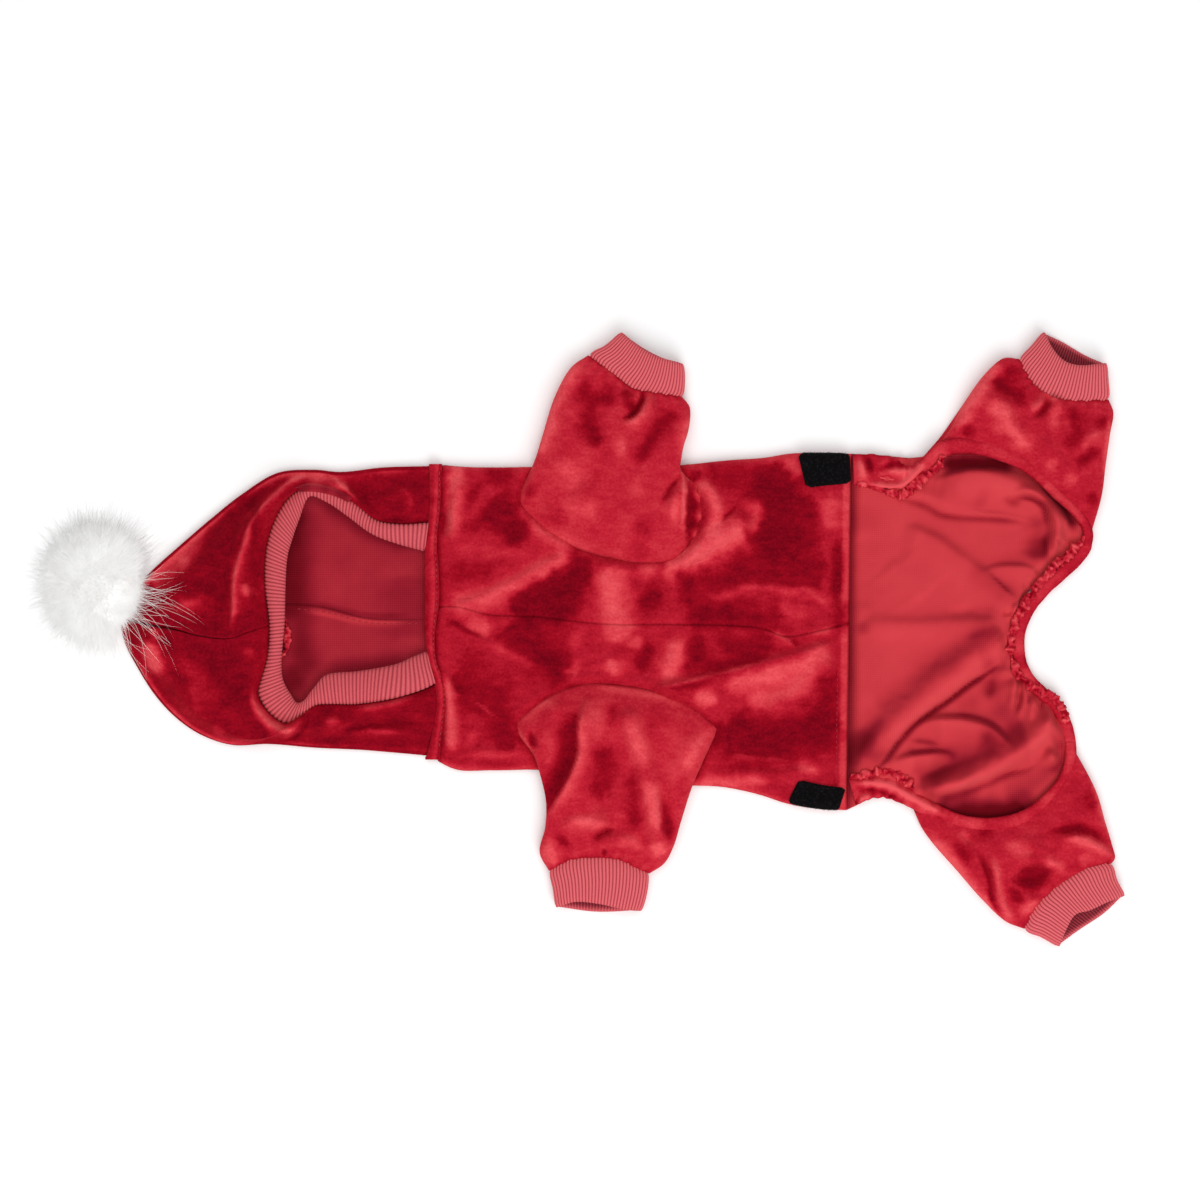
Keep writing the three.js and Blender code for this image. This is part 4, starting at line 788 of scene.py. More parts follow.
def smoothstep(x, low, high):
    t = np.clip((x - low) / (high - low), 0, 1)
    return t * t * (3 - 2 * t)


def unevenness(x, y, size, seed):
    """Soft random unevenness from -1 to 1, in patches about `size` across."""
    lattice = np.random.default_rng(seed).uniform(-1, 1, (64, 64))
    u, v = x / size, y / size
    i, j = np.floor(u).astype(int), np.floor(v).astype(int)
    s, t = smoothstep(u - i, 0, 1), smoothstep(v - j, 0, 1)
    pick = lambda a, b: lattice[(i + a) % 64, (j + b) % 64]
    return ((pick(0, 0) * (1 - s) + pick(1, 0) * s) * (1 - t) + (pick(0, 1) * (1 - s) + pick(1, 1) * s) * t)


def unit(vectors):
    """Vectors brought to a length of 1."""
    return vectors / np.linalg.norm(vectors, axis=-1, keepdims=True)


def fade(distance, reach, power=2):
    """1 at no distance, and nearly 0 past about twice `reach`."""
    return np.exp(-((distance / reach) ** power))


def strokes(rows, x, y, power=2.0, ragged=0.08):
    """The sum of a table's folds, or of its strokes of tone (the pile's nap, painted shade and painted
    highlights), at places in plan. Each fades out at its reach, faster with a high power, narrows and runs
    out towards its ends, and wanders by `ragged` of its reach."""
    aside = unevenness(x, y, 6, 201) + 0.6 * unevenness(x, y, 2.6, 202)
    ahead = unevenness(x, y, 6, 203) + 0.6 * unevenness(x, y, 2.6, 204)
    total = np.zeros(x.shape)
    for size, left, right, spots in rows:
        wander = ragged * min(left, right)
        path = line(*spots.T)
        run = path(np.linspace(0, 1, max(int(path.length / RUN_STEP), 8)))
        step = path.length / (len(run) - 1)
        way = unit(np.gradient(run, axis=0))
        margin = 2.4 * max(left, right)
        close = ((x > run[:, 0].min() - margin) & (x < run[:, 0].max() + margin)
                 & (y > run[:, 1].min() - margin) & (y < run[:, 1].max() + margin))
        place = np.stack([x[close] + wander * aside[close], y[close] + wander * ahead[close]], -1)
        at = ((place[:, None] - run) ** 2).sum(-1).argmin(1)
        gap = place - run[at]
        off = way[at, 0] * gap[:, 1] - way[at, 1] * gap[:, 0]
        along = at * step + (gap * way[at]).sum(1)
        run_out = min(0.4 * path.length, RUN_OUT / min(left, right) ** 0.5)
        ends = smoothstep(np.minimum(along, path.length - along), 0, run_out)
        reach = np.where(off > 0, left, right) * (0.55 + 0.45 * ends)
        total[close] += size * ends * fade(np.abs(off), reach, power)
    return total


def crumple(x, y, seed):
    """The slight unevenness of cloth that was handled and laid down."""
    return 0.45 * unevenness(x, y, 19, seed) + 0.22 * unevenness(x, y, 8, seed + 1)


def settled(tone):
    """The pile's lightness, drawn in softly where it is very deep or very light: no pile lies quite flat."""
    return 0.5 + PILE_SWING * np.tanh((tone - 0.5) / PILE_SWING)


# ---- meshes ----
def grid_normals(points, ring=False):
    along = np.gradient(points, axis=0)
    across = (np.roll(points, -1, 1) - np.roll(points, 1, 1)) / 2 if ring else np.gradient(points, axis=1)
    normal = np.cross(along, across)
    return normal / np.maximum(np.linalg.norm(normal, axis=-1, keepdims=True), 1e-9)


def upward_normals(points):
    """A grid's normals, turned so that on the whole they point up."""
    normal = grid_normals(points)
    return normal * np.sign(normal[..., 2:].mean())


def shell(outer, inner, ring=False, keep=None):
    """Points and faces of a closed shell between two grids, and for each face whether it belongs to the
    outer grid (0), to the inner one (1) or to the rim (2)."""
    rows, count = outer.shape[:2]
    i, j = np.meshgrid(np.arange(rows - 1), np.arange(count if ring else count - 1), indexing="ij")
    k = (j + 1) % count
    corners = [i * count + j, (i + 1) * count + j, (i + 1) * count + k, i * count + k]
    quads = np.stack(corners, -1).reshape(-1, 4)
    if keep is not None:
        quads = quads[keep.ravel()]
    edges = np.concatenate([quads[:, [a, (a + 1) % 4]] for a in range(4)])
    total = rows * count
    code, reverse = edges[:, 0] * total + edges[:, 1], edges[:, 1] * total + edges[:, 0]
    rim = edges[~np.isin(code, reverse)]
    rim = np.stack([rim[:, 1], rim[:, 0], rim[:, 0] + total, rim[:, 1] + total], -1)
    points = np.concatenate([outer.reshape(-1, 3), inner.reshape(-1, 3)])
    faces = np.concatenate([quads, quads[:, ::-1] + total, rim])
    kinds = np.repeat([0, 1, 2], [len(quads), len(quads), len(rim)])
    a, b, c, d = (points[faces[:, n]] for n in range(4))
    volume = (a * np.cross(b, c)).sum() + (a * np.cross(c, d)).sum()
    return points, (faces if volume > 0 else faces[:, ::-1]), kinds


def make_piece(name, points, faces, kinds, materials, **attributes):
    """A mesh object from arrays, in millimetres, with a material for each kind of face."""
    used, numbered = np.unique(faces, return_inverse=True)
    faces = numbered.reshape(faces.shape)
    mesh = bpy.data.meshes.new(name)
    mesh.vertices.add(len(used))
    mesh.vertices.foreach_set("co", (points[used] * MM).astype(np.float32).ravel())
    size = faces.shape[1]
    mesh.loops.add(faces.size)
    mesh.loops.foreach_set("vertex_index", faces.ravel().astype(np.int32))
    mesh.polygons.add(len(faces))
    mesh.polygons.foreach_set("loop_start", np.arange(0, faces.size, size, dtype=np.int32))
    mesh.polygons.foreach_set("material_index", np.asarray(kinds, np.int32))
    mesh.polygons.foreach_set("use_smooth", np.ones(len(faces), bool))
    for material in materials:
        mesh.materials.append(material)
    for label, values in attributes.items():
        layer = mesh.attributes.new(label, "FLOAT", "POINT")
        layer.data.foreach_set("value", np.asarray(values, np.float32).ravel()[used])
    mesh.update(calc_edges=True)
    mesh.validate()
    piece = bpy.data.objects.new(name, mesh)
    bpy.context.scene.collection.objects.link(piece)
    return piece


def velour(name, points, tone, ring=False, keep=None, upward=True):
    """Velour as a thin closed cloth: the grid is its pile side, and its knit backing lies behind. Its colour
    is made lighter where it slopes: a painted sheen, standing in for the pile seen from its side."""
    normal = grid_normals(points, ring)
    if not upward:
        normal = -normal
    inner = points - normal * VELOUR
    inner[..., 2] = np.maximum(inner[..., 2], 0)
    # painted sheen: the tone is raised where the cloth slopes away from level
    tone = settled(tone) + PAINTED_SHEEN * (1 - np.abs(normal[..., 2]))
    solid, faces, kinds = shell(points, inner, ring, keep)
    return make_piece(name, solid, faces, np.minimum(kinds, 1), [VELOUR_FACE, BACKING], nap=both_sides(tone))


# ---- materials ----
def linear(hex_colour):
    """sRGB hex, as a linear colour with alpha."""
    value = [int(hex_colour[i:i + 2], 16) / 255 for i in (1, 3, 5)]
    return (*[c / 12.92 if c <= 0.04045 else ((c + 0.055) / 1.055) ** 2.4 for c in value], 1.0)


def per_mm(size):
    """The scale of a pattern that repeats every `size` millimetres in object coordinates."""
    return 1000 / size


def add(tree, kind, inputs=None, stops=(), **settings):
    """A node with its settings, its inputs (values, or outputs of other nodes) and its colour stops."""
    made = tree.nodes.new(kind)
    for key, value in settings.items():
        setattr(made, key, value)
    for key, value in (inputs or {}).items():
        if isinstance(value, bpy.types.NodeSocket):
            tree.links.new(value, made.inputs[key])
        else:
            made.inputs[key].default_value = value
    for number, (at, colour) in enumerate(stops):
        element = made.color_ramp.elements[number] if number < 2 else made.color_ramp.elements.new(at)
        element.position, element.color = at, linear(colour)
    return made


def new_material(name):
    """An empty material, its tree, and where each place on the piece is."""
    material = bpy.data.materials.new(name)
    material.use_nodes = True
    material.node_tree.nodes.clear()
    return material, material.node_tree, add(material.node_tree, "ShaderNodeTexCoord").outputs["Object"]


def mixed_in(tree, tone, patterns):
    """A tone with patterns added, each of which swings it by its amount."""
    for pattern, amount in patterns:
        swing = add(tree, "ShaderNodeMath", {0: pattern, 1: amount, 2: -amount / 2}, operation="MULTIPLY_ADD")
        tone = add(tree, "ShaderNodeMath", {0: tone, 1: swing.outputs[0]}, operation="ADD").outputs[0]
    return tone


def finished(material, colour, relief=None, **values):
    """The material with its shader: a colour, a relief and the values that are the same all over."""
    inputs = {"Base Color": colour.outputs["Color"], **{k.replace("_", " "): v for k, v in values.items()}}
    if relief:
        inputs["Normal"] = relief.outputs["Normal"]
    shader = add(material.node_tree, "ShaderNodeBsdfPrincipled", inputs)
    add(material.node_tree, "ShaderNodeOutputMaterial", {"Surface": shader.outputs["BSDF"]})
    return material


def both_sides(values):
    """A grid's values for both sides of a shell."""
    return np.concatenate([values.ravel(), values.ravel()])


def velour_material():
    """Polyester velour, knitted with a dense cut pile 1.5 mm deep, dyed red. Where the pile lies towards the
    eye it is light, and where it stands on end the eye looks down into it and it is deep red. The tone it
    reads holds these patches of the pile together with painted shade and painted highlights along folds,
    seams and edges."""
    material, tree, where = new_material("velour_cut_pile")
    # the tone attribute: the pile's patches, with painted shade and painted highlights
    nap = add(tree, "ShaderNodeAttribute", attribute_name="nap")
    # pile crushed in patches a fingertip across, brushed in streaks, and the tufts themselves;
    # those are 0.3 mm apart and are drawn at 1.4 mm so that they show
    crushed = add(tree, "ShaderNodeTexNoise", {
        "Vector": where, "Scale": per_mm(15), "Detail": 5.0, "Roughness": 0.62})
    drawn_out = add(tree, "ShaderNodeMapping", {
        "Vector": where, "Rotation": (0, 0, 0.3), "Scale": (0.42, 1, 1)})
    brushed = add(tree, "ShaderNodeTexNoise", {
        "Vector": drawn_out.outputs["Vector"], "Scale": per_mm(4.0), "Detail": 4.0, "Roughness": 0.62})
    tufts = add(tree, "ShaderNodeTexNoise", {"Vector": where, "Scale": per_mm(1.4), "Detail": 2.0})
    tone = mixed_in(tree, nap.outputs["Fac"], (
        (crushed.outputs["Fac"], 0.34), (brushed.outputs["Fac"], 0.42), (tufts.outputs["Fac"], 0.36)))
    colour = add(tree, "ShaderNodeValToRGB", {"Fac": tone},
                 ((0.0, "#6a0212"), (1.0, "#dd4f56"), (0.25, "#92071b"), (0.5, "#b11b2d"), (0.75, "#c7343f")))
    relief = add(tree, "ShaderNodeBump", {
        "Height": tufts.outputs["Fac"], "Strength": 0.35, "Distance": 0.35 * MM})
    return finished(material, colour, relief, Roughness=0.9, Specular_IOR_Level=0.03, Sheen_Weight=0.10,
                    Sheen_Roughness=0.4, Sheen_Tint=linear("#ff4a50"))


def backing_material():
    """The plain-knit side of the velour: matte and even, in close rows of small stitches, its tone darkened
    and lightened by painted shade and painted light.
    """
    material, tree, where = new_material("knit_backing")
    # the stitches are 0.6 mm apart, and are drawn at about 1 mm so that they show
    wales = add(tree, "ShaderNodeTexWave", {
        "Vector": where, "Scale": per_mm(1.1) / WAVE_BANDS, "Distortion": 1.2, "Detail": 1.0},
        bands_direction="X")
    courses = add(tree, "ShaderNodeTexWave", {
        "Vector": where, "Scale": per_mm(1.0) / WAVE_BANDS, "Distortion": 1.0, "Detail": 1.0},
        bands_direction="Y")
    stitch = add(tree, "ShaderNodeMath", {0: wales.outputs["Fac"], 1: courses.outputs["Fac"]},
                 operation="MULTIPLY")
    # the tone attribute: painted shade and painted light on the knit's creases, flanks and hollows
    nap = add(tree, "ShaderNodeAttribute", attribute_name="nap")
    worn = add(tree, "ShaderNodeTexNoise", {"Vector": where, "Scale": per_mm(20), "Detail": 3.0})
    tone = mixed_in(tree, nap.outputs["Fac"], ((worn.outputs["Fac"], 0.18), (stitch.outputs[0], 0.15)))
    colour = add(tree, "ShaderNodeValToRGB", {"Fac": tone},
                 ((0.0, "#600410"), (1.0, "#d64c52"), (0.25, "#8e1828"), (0.5, "#b83039"), (0.7, "#ca3d44")))
    relief = add(tree, "ShaderNodeBump", {
        "Height": stitch.outputs[0], "Strength": 0.35, "Distance": 0.3 * MM})
    return finished(material, colour, relief, Roughness=0.95, Specular_IOR_Level=0.05, Sheen_Weight=0.05,
                    Sheen_Tint=linear("#ff8f92"))


def rib_material():
    """Cotton rib knit, knitted with a little elastane: a paler, matte red, with painted shade down between
    the ribs and inside the cuffs.
    """
    material, tree, where = new_material("rib_knit")
    valley = add(tree, "ShaderNodeAttribute", attribute_name="valley")
    # the loops are 0.5 mm apart, and are drawn at 0.8 mm so that they show
    loops = add(tree, "ShaderNodeTexNoise", {"Vector": where, "Scale": per_mm(0.8), "Detail": 2.0})
    # painted shade: the valley attribute darkens the colour between the ribs and inside the cuffs
    depth = add(tree, "ShaderNodeMath", {0: loops.outputs["Fac"], 1: 0.22, 2: valley.outputs["Fac"]},
                operation="MULTIPLY_ADD")
    colour = add(tree, "ShaderNodeValToRGB", {"Fac": depth.outputs[0]},
                 ((0.0, "#dc6a70"), (1.0, "#4c0f1a"), (0.3, "#cf5a61"), (0.55, "#ab3f49"), (0.72, "#8f2f3a")))
    relief = add(tree, "ShaderNodeBump", {
        "Height": loops.outputs["Fac"], "Strength": 0.3, "Distance": 0.25 * MM})
    return finished(material, colour, relief, Roughness=0.93, Specular_IOR_Level=0.08, Sheen_Weight=0.08,
                    Sheen_Tint=linear("#ffb0b0"))


def fur_material():
    """Long-pile acrylic fur: fine, straight, slightly glossy white hairs, greyer from lock to lock."""
    material, tree, where = new_material("white_fur")
    locks = add(tree, "ShaderNodeTexNoise", {"Vector": where, "Scale": per_mm(9), "Detail": 2.0})
    colour = add(tree, "ShaderNodeValToRGB", {"Fac": locks.outputs["Fac"]},
                 ((0.3, "#f0efee"), (0.7, "#fbfbfa")))
    return finished(material, colour, Roughness=0.7, Specular_IOR_Level=0.3, Sheen_Weight=0.1)


def tape_material():
    """Woven nylon loop tape, brushed so that its loops stand up as an uneven near-black fuzz."""
    material, tree, where = new_material("loop_tape")
    fuzz = add(tree, "ShaderNodeTexNoise", {
        "Vector": where, "Scale": per_mm(1.3), "Detail": 4.0, "Roughness": 0.7})
    colour = add(tree, "ShaderNodeValToRGB", {"Fac": fuzz.outputs["Fac"]},
                 ((0.3, "#020102"), (0.85, "#2c282b"), (0.55, "#070507")))
    relief = add(tree, "ShaderNodeBump", {
        "Height": fuzz.outputs["Fac"], "Strength": 0.6, "Distance": 0.5 * MM})
    return finished(material, colour, relief, Roughness=0.9, Specular_IOR_Level=0.08, Sheen_Weight=0.02)


def thread_material(name, light, deep):
    """Polyester sewing thread, twisted from two plies: a little gloss, with its dark side in the twist."""
    material, tree, where = new_material(name)
    twist = add(tree, "ShaderNodeTexNoise", {"Vector": where, "Scale": per_mm(0.5), "Detail": 1.0})
    colour = add(tree, "ShaderNodeValToRGB", {"Fac": twist.outputs["Fac"]}, ((0.3, deep), (0.7, light)))
    relief = add(tree, "ShaderNodeBump", {
        "Height": twist.outputs["Fac"], "Strength": 0.2, "Distance": 0.1 * MM})
    return finished(material, colour, relief, Roughness=0.55)


def floor_material():
    """Matte white paper, rolled out as a studio ground, very slightly uneven in tone."""
    material, tree, where = new_material("studio_paper")
    pulp = add(tree, "ShaderNodeTexNoise", {"Vector": where, "Scale": per_mm(60)})
    colour = add(tree, "ShaderNodeValToRGB", {"Fac": pulp.outputs["Fac"]},
                 ((0.3, "#f7f7f7"), (0.7, "#f9f9f9")))
    return finished(material, colour, Roughness=0.9, Specular_IOR_Level=0.1)


VELOUR_FACE = velour_material()
BACKING = backing_material()
RIB_KNIT = rib_material()
FUR = fur_material()
TAPE = tape_material()
THREAD = thread_material("red_thread", "#b4202f", "#8a1020")

# ---- camera and light ----
VIEW_CENTRE = (7.7, 20.9)
VIEW_WIDTH = 660.0
FOCUS_HEIGHT = 6.0  # the middle of the garment's layers
SKY = 0.46
LENS, SENSOR = 85.0, 36.0
camera_data = bpy.data.cameras.new("camera")
camera_data.lens, camera_data.sensor_width = LENS, SENSOR
camera = bpy.data.objects.new("camera", camera_data)
camera.location = (VIEW_CENTRE[0] * MM, VIEW_CENTRE[1] * MM, (VIEW_WIDTH * LENS / SENSOR + FOCUS_HEIGHT) * MM)
bpy.context.scene.collection.objects.link(camera)
bpy.context.scene.camera = camera
bpy.context.scene.view_settings.view_transform = "Standard"

world = bpy.data.worlds.new("studio")
world.use_nodes = True
world.node_tree.nodes["Background"].inputs["Color"].default_value = linear("#ffffff")
world.node_tree.nodes["Background"].inputs["Strength"].default_value = SKY
bpy.context.scene.world = world
LAMPS = table("x y z size watts", (380, -1150, 1450, 1500, 19.0), (-150, 250, 2000, 2000, 18.5))
for number, (x, y, z, size, watts) in enumerate(zip(*LAMPS.values())):
    lamp_data = bpy.data.lights.new(f"softbox_{number}", "AREA")
    lamp_data.shape, lamp_data.size, lamp_data.energy = "DISK", size * MM, watts
    lamp = bpy.data.objects.new(f"softbox_{number}", lamp_data)
    lamp.location = (x * MM, y * MM, z * MM)
    lamp.rotation_euler = (-lamp.location).to_track_quat("-Z", "Y").to_euler()
    bpy.context.scene.collection.objects.link(lamp)

FLOOR_HALF, FLOOR_Z = 3000.0, -0.2
corner = np.array([(-1, -1), (1, -1), (1, 1), (-1, 1)]) * FLOOR_HALF
corners = np.c_[corner, np.full(4, FLOOR_Z)]
floor = make_piece("floor", corners, np.array([[0, 1, 2, 3]]), [0], [floor_material()])


# ---- body ----
def hem_x(y):
    """Where the belly's hem lies: square to the body, a little aslant."""
    return HEM_X - HEM_SLANT * (BODY["left"][-1] - y)


def side_drop(inset):
    """How far the belly's rolled side has gone down, at a distance in from its edge."""
    return SIDE_RADIUS - np.sqrt(np.maximum(SIDE_RADIUS ** 2 - np.maximum(SIDE_RADIUS - inset, 0) ** 2, 0))


def belly_height(x, y, inset):
    """How high the belly's face lies: flat, rolled down at the side and creased."""
    calm = smoothstep(inset, SIDE_RADIUS * 0.7, 3 * SIDE_RADIUS)
    return BELLY_TOP - side_drop(inset) + calm * (strokes(BELLY_FOLDS, x, y) + crumple(x, y, 3))


def outline_of(limb):
    """The line on the belly where a sleeve is sewn in, as points."""
    sides = [plan(limb["left"]), plan(limb["right"])]
    return np.concatenate([sides[0](np.linspace(0.45, 0, 60)), plan(limb["top"])(np.linspace(0, 1, 240))[1:],
                           sides[1](np.linspace(0, 0.45, 60))[1:]])


def inside(outline, x, y):
    """Whether places in plan lie inside a closed outline."""
    closed = np.vstack([outline, outline[:1]])
    hit = np.zeros(x.shape, bool)
    for (x0, y0), (x1, y1) in zip(closed[:-1], closed[1:]):
        if y0 != y1:
            hit ^= ((y0 > y) != (y1 > y)) & (x < (x1 - x0) * (y - y0) / (y1 - y0) + x0)
    return hit


def nearest(outline, x, y):
    """The nearest of an outline's points, and how far it is."""
    gap = np.hypot(x[..., None] - outline[:, 0], y[..., None] - outline[:, 1])
    return outline[gap.argmin(-1)], gap.min(-1)


def cut_out(points, outline, lap):
    """Lays a grid's points that fall just inside an outline on a line `lap` inside it, and drops the faces
    beyond, so that the cloth runs on under what is sewn to it. It also gives how far outside the outline
    each point is."""
    x, y = points[..., 0].copy(), points[..., 1].copy()
    within = inside(outline, x, y)
    spot, gap = nearest(outline, x, y)
    beyond = within & (gap > lap)
    drop = beyond[:-1, :-1] & beyond[1:, :-1] & beyond[:-1, 1:] & beyond[1:, 1:]
    move = beyond & (gap < lap + 1.6 * GRID)
    inward = (points[..., :2][move] - spot[move]) / gap[move][:, None]
    points[move, :2] = spot[move] + lap * inward
    return ~drop, np.where(within, -gap, gap)


def front(side, limb):
    """One half of the belly. It runs on under the neck's casing and into the armhole's seam."""
    sign = 1 if side == "left" else -1
    along = np.linspace(0, 1, int(BELLY_LENGTH / GRID) + 1)[:, None]
    nominal = NECK_X + (HEM_X - NECK_X) * along
    seam, edge = column(BODY, "x", "seam", nominal), column(BODY, "x", side, nominal)
    width = np.abs(edge - seam)
    roll = SIDE_RADIUS * (1 - np.cos(np.linspace(0, np.pi / 2, ROLL_POINTS)))
    share = np.linspace(0, 1, int(FRONT_WIDTH[side] / GRID))[1:]
    rolled = np.broadcast_to(roll, (len(along), ROLL_POINTS))
    inset = np.concatenate([rolled, SIDE_RADIUS + (width - SIDE_RADIUS) * share], 1)
    y = edge - sign * inset
    neck = column(NECK_EDGES, "y", "right", y) - NECK_TUCK
    x = neck + (hem_x(y) - neck) * along
    points = np.stack([x, y, np.zeros_like(x)], -1)
    keep, gap = cut_out(points, outline_of(limb), ARMHOLE_LAP)
    x, y = points[..., 0], points[..., 1]
    from_middle = width - inset
    from_hem, from_neck = hem_x(y) - x, x - column(NECK_EDGES, "y", "right", y)
    calm = smoothstep(inset, 0, SIDE_RADIUS)
    z = belly_height(x, y, inset)
    z -= SEAM_DIP * fade(gap, 1.8)  # sinks into the armhole's seam
    z += 0.9 * fade(gap - 4, 2.2)  # and swells beside it
    z -= 2.4 * smoothstep(-gap, 0.1, 1.5)  # its allowance turns down inside the sleeve
    z -= 0.35 * fade(from_middle, 0.9)  # sinks into the seam down the middle
    z += 0.3 * fade(from_middle - 3, 1.6)
    z -= 1.6 * fade(np.maximum(from_neck, 0), 1.3)  # goes down to the neck's casing
    # the hem is doubled, sinks at its row of stitches and is rounded at its edge
    z += calm * (0.8 * smoothstep(-from_hem, -HEM_DEPTH - 0.6, -HEM_DEPTH + 1.2)
                 - 1.0 * fade(from_hem - HEM_DEPTH, 0.9) - 2.6 * fade(from_hem, 1.1))
    points[..., 2] = np.maximum(z, BELLY_LOWEST)
    tone = BELLY_TONE + BELLY_STROKES * strokes(BELLY_NAP_AND_PAINTED_SHADING, x, y, PILE_POWER, PILE_RAGGED)
    # painted light and shade: a painted highlight on the hem's doubled edge and on the rolled side, painted
    # shade where the belly goes down to the neck casing and along the armhole and middle seams
    tone += 0.36 * fade(from_hem - 2.6, 2.3, 4) * calm
    tone -= 0.3 * fade(np.maximum(from_neck, 0), 1.6)
    tone += 0.22 * fade(inset, 3.0) - 0.12 * fade(gap, 1.6)
    tone -= 0.06 * fade(from_middle, 0.8)
    return velour(f"front_{side}_velour", points, tone, keep=keep, upward=side == "right")


def edge_gathers(along, across_mm, pitch, seed):
    """Uneven small pleats across an elastic edge, at places along it in millimetres."""
    wander = unevenness(along, across_mm * 0.25, pitch * 1.7, seed)
    height = 0.65 + 0.35 * unevenness(along, across_mm, pitch * 2.3, seed + 7)
    return np.sin(2 * np.pi * along / pitch + 3.6 * wander) * height


def toward_light(points):
    """How much lighter knit lies on a flank that faces the window, and darker on one that faces away."""
    normal = upward_normals(points)
    return FLANK_SHADE * (normal[..., 0] * LIGHT_WAY[0] + normal[..., 1] * LIGHT_WAY[1])


def back():
    """The back's one piece: velour beneath, and its knit side uppermost where it shows past the hem."""
    tail, left, right = plan(TAIL_EDGE), plan(REAR_LEFT), plan(REAR_RIGHT)
    across = np.linspace(0, 1, BACK_POINTS)[None, :]
    body_along = np.linspace(0, 1, BODY_ROWS)[:-1, None]
    nominal = NECK_X + (HEM_X - NECK_X) * body_along
    right_side, left_side = column(BODY, "x", "right", nominal), column(BODY, "x", "left", nominal)
    y = right_side + (left_side - right_side) * across
    body = np.stack([NECK_X + (hem_x(y) - NECK_X) * body_along, y, np.zeros_like(y)], -1)
    at_hem = straight([REAR_RIGHT["x"][0], REAR_RIGHT["y"][0]], [REAR_LEFT["x"][0], REAR_LEFT["y"][0]])
    along = np.linspace(0, 1, REAR_ROWS)[:, None] + 0 * across
    spread = across + 0 * along
    rear = coons(at_hem, tail, right, left)(spread, along)
    x, y = rear[..., 0], rear[..., 1]
    held = smoothstep(np.minimum(np.minimum(spread, 1 - spread) * 1.6, 1 - along), 0.0, 0.09)
    held *= smoothstep(x, 143, 152)
    folds = REAR_RELIEF * strokes(REAR_FOLDS, x, y)
    for rows in (LINING_LEFT_FOLDS, LINING_RIGHT_FOLDS):
        folds += strokes(rows, x, y)
    to_tail = (1 - along) * REAR_LENGTH
    to_side = np.minimum(spread, 1 - spread) * REAR_WIDTH
    fewer = 1 - 0.7 * smoothstep(spread, 0.60, 0.74)  # the elastic hardly draws up the left end
    gathers = (2.1 * np.exp(-to_tail / 17) * fewer * edge_gathers(spread * tail.length, to_tail, 12.5, 31)
               + 0.8 * np.exp(-to_tail / 4.5) * edge_gathers(spread * tail.length, to_tail, 5.0, 33))
    at_sides = 1.3 * np.exp(-to_side / 9) * edge_gathers(along * 120, to_side, 5.0, 37)
    gathers += at_sides * (1 - smoothstep(x, 190, 215))
    z = held * (REAR_HEIGHT + folds + 0.7 * crumple(x, y, 11)) + (1 - held) * 2.0 * smoothstep(x, 143, 152)
    z += gathers * smoothstep(x, 146, 160)
    rear = np.stack([x, y, np.maximum(z, 0)], -1)
    points = np.concatenate([body, rear])
    keep = np.ones((len(points) - 1, across.size - 1), bool)
    for limb in (SLEEVE_LEFT, SLEEVE_RIGHT):
        outward = (0, 70 if limb["side"] == "left" else -70)
        lower = plan(limb["under"])(np.linspace(0, 1, 200))
        keep &= cut_out(points, np.vstack([lower, lower[-1] + outward, lower[0] + outward]), 0.7)[0]
    solid, faces, kinds = shell(points + np.array([0, 0, VELOUR]), points, keep=keep)
    x, y = points[..., 0], points[..., 1]
    # painted shading: the lining and rear tables darken the knit where shade falls and lighten its crests,
    # and toward_light paints light and shade by the way each flank faces the window
    shade = strokes(LINING_LEFT_PAINTED_SHADING, x, y) + strokes(LINING_RIGHT_PAINTED_SHADING, x, y)
    tone = KNIT_TONE + KNIT_STROKES * strokes(REAR_PAINTED_SHADING, x, y, 1.8) + 0.8 * shade + toward_light(points)
    # painted shadow that the belly's hem casts on the knit beside it
    tone -= 0.32 * fade(np.maximum(x - hem_x(y), 0), 3.4)
    return make_piece("back_knit", solid, faces, np.where(kinds == 0, 0, 1), [BACKING, VELOUR_FACE],
                      nap=both_sides(tone))


# ---- limbs ----
def section(count, width, height, squareness=3.0):
    """A flattened ring, evenly spaced along its outline: the share across and the rise from -1 to 1."""
    angle = np.linspace(0, 2 * np.pi, 4001)
    rounded = lambda v: np.sign(v) * np.abs(v) ** (2 / squareness)
    across, rise = (1 - rounded(np.cos(angle))) / 2, rounded(np.sin(angle))
    length = np.r_[0, np.cumsum(np.hypot(np.diff(across) * width, np.diff(rise) * height / 2))]
    at = np.linspace(0, length[-1], count, endpoint=False)
    return np.interp(at, length, across), np.interp(at, length, rise)


def tube_grid(limb, along, count, width):
    """A flattened tube between a limb's outlines: its points in plan, their heights, and for each the share
    along, the share across and the rise from -1 to 1."""
    across, rise = section(count, width, float(limb["height"]["rise"].mean()))
    left, right = plan(limb["left"]), plan(limb["right"])
    top = coons(plan(limb["top"]), plan(limb["end_top"]), left, right)
    under = coons(plan(limb["under"]), plan(limb["end_under"]), left, right)
    a, c = np.broadcast_arrays(along[:, None], across[None, :])
    upper = rise[None, :] >= 0
    place = np.where(upper[..., None], top(c, a), under(c, a))
    half = column(limb["height"], "at", "rise", a) / 2
    return place, half * (1 + rise[None, :]), a, c, np.broadcast_to(rise[None, :], a.shape)


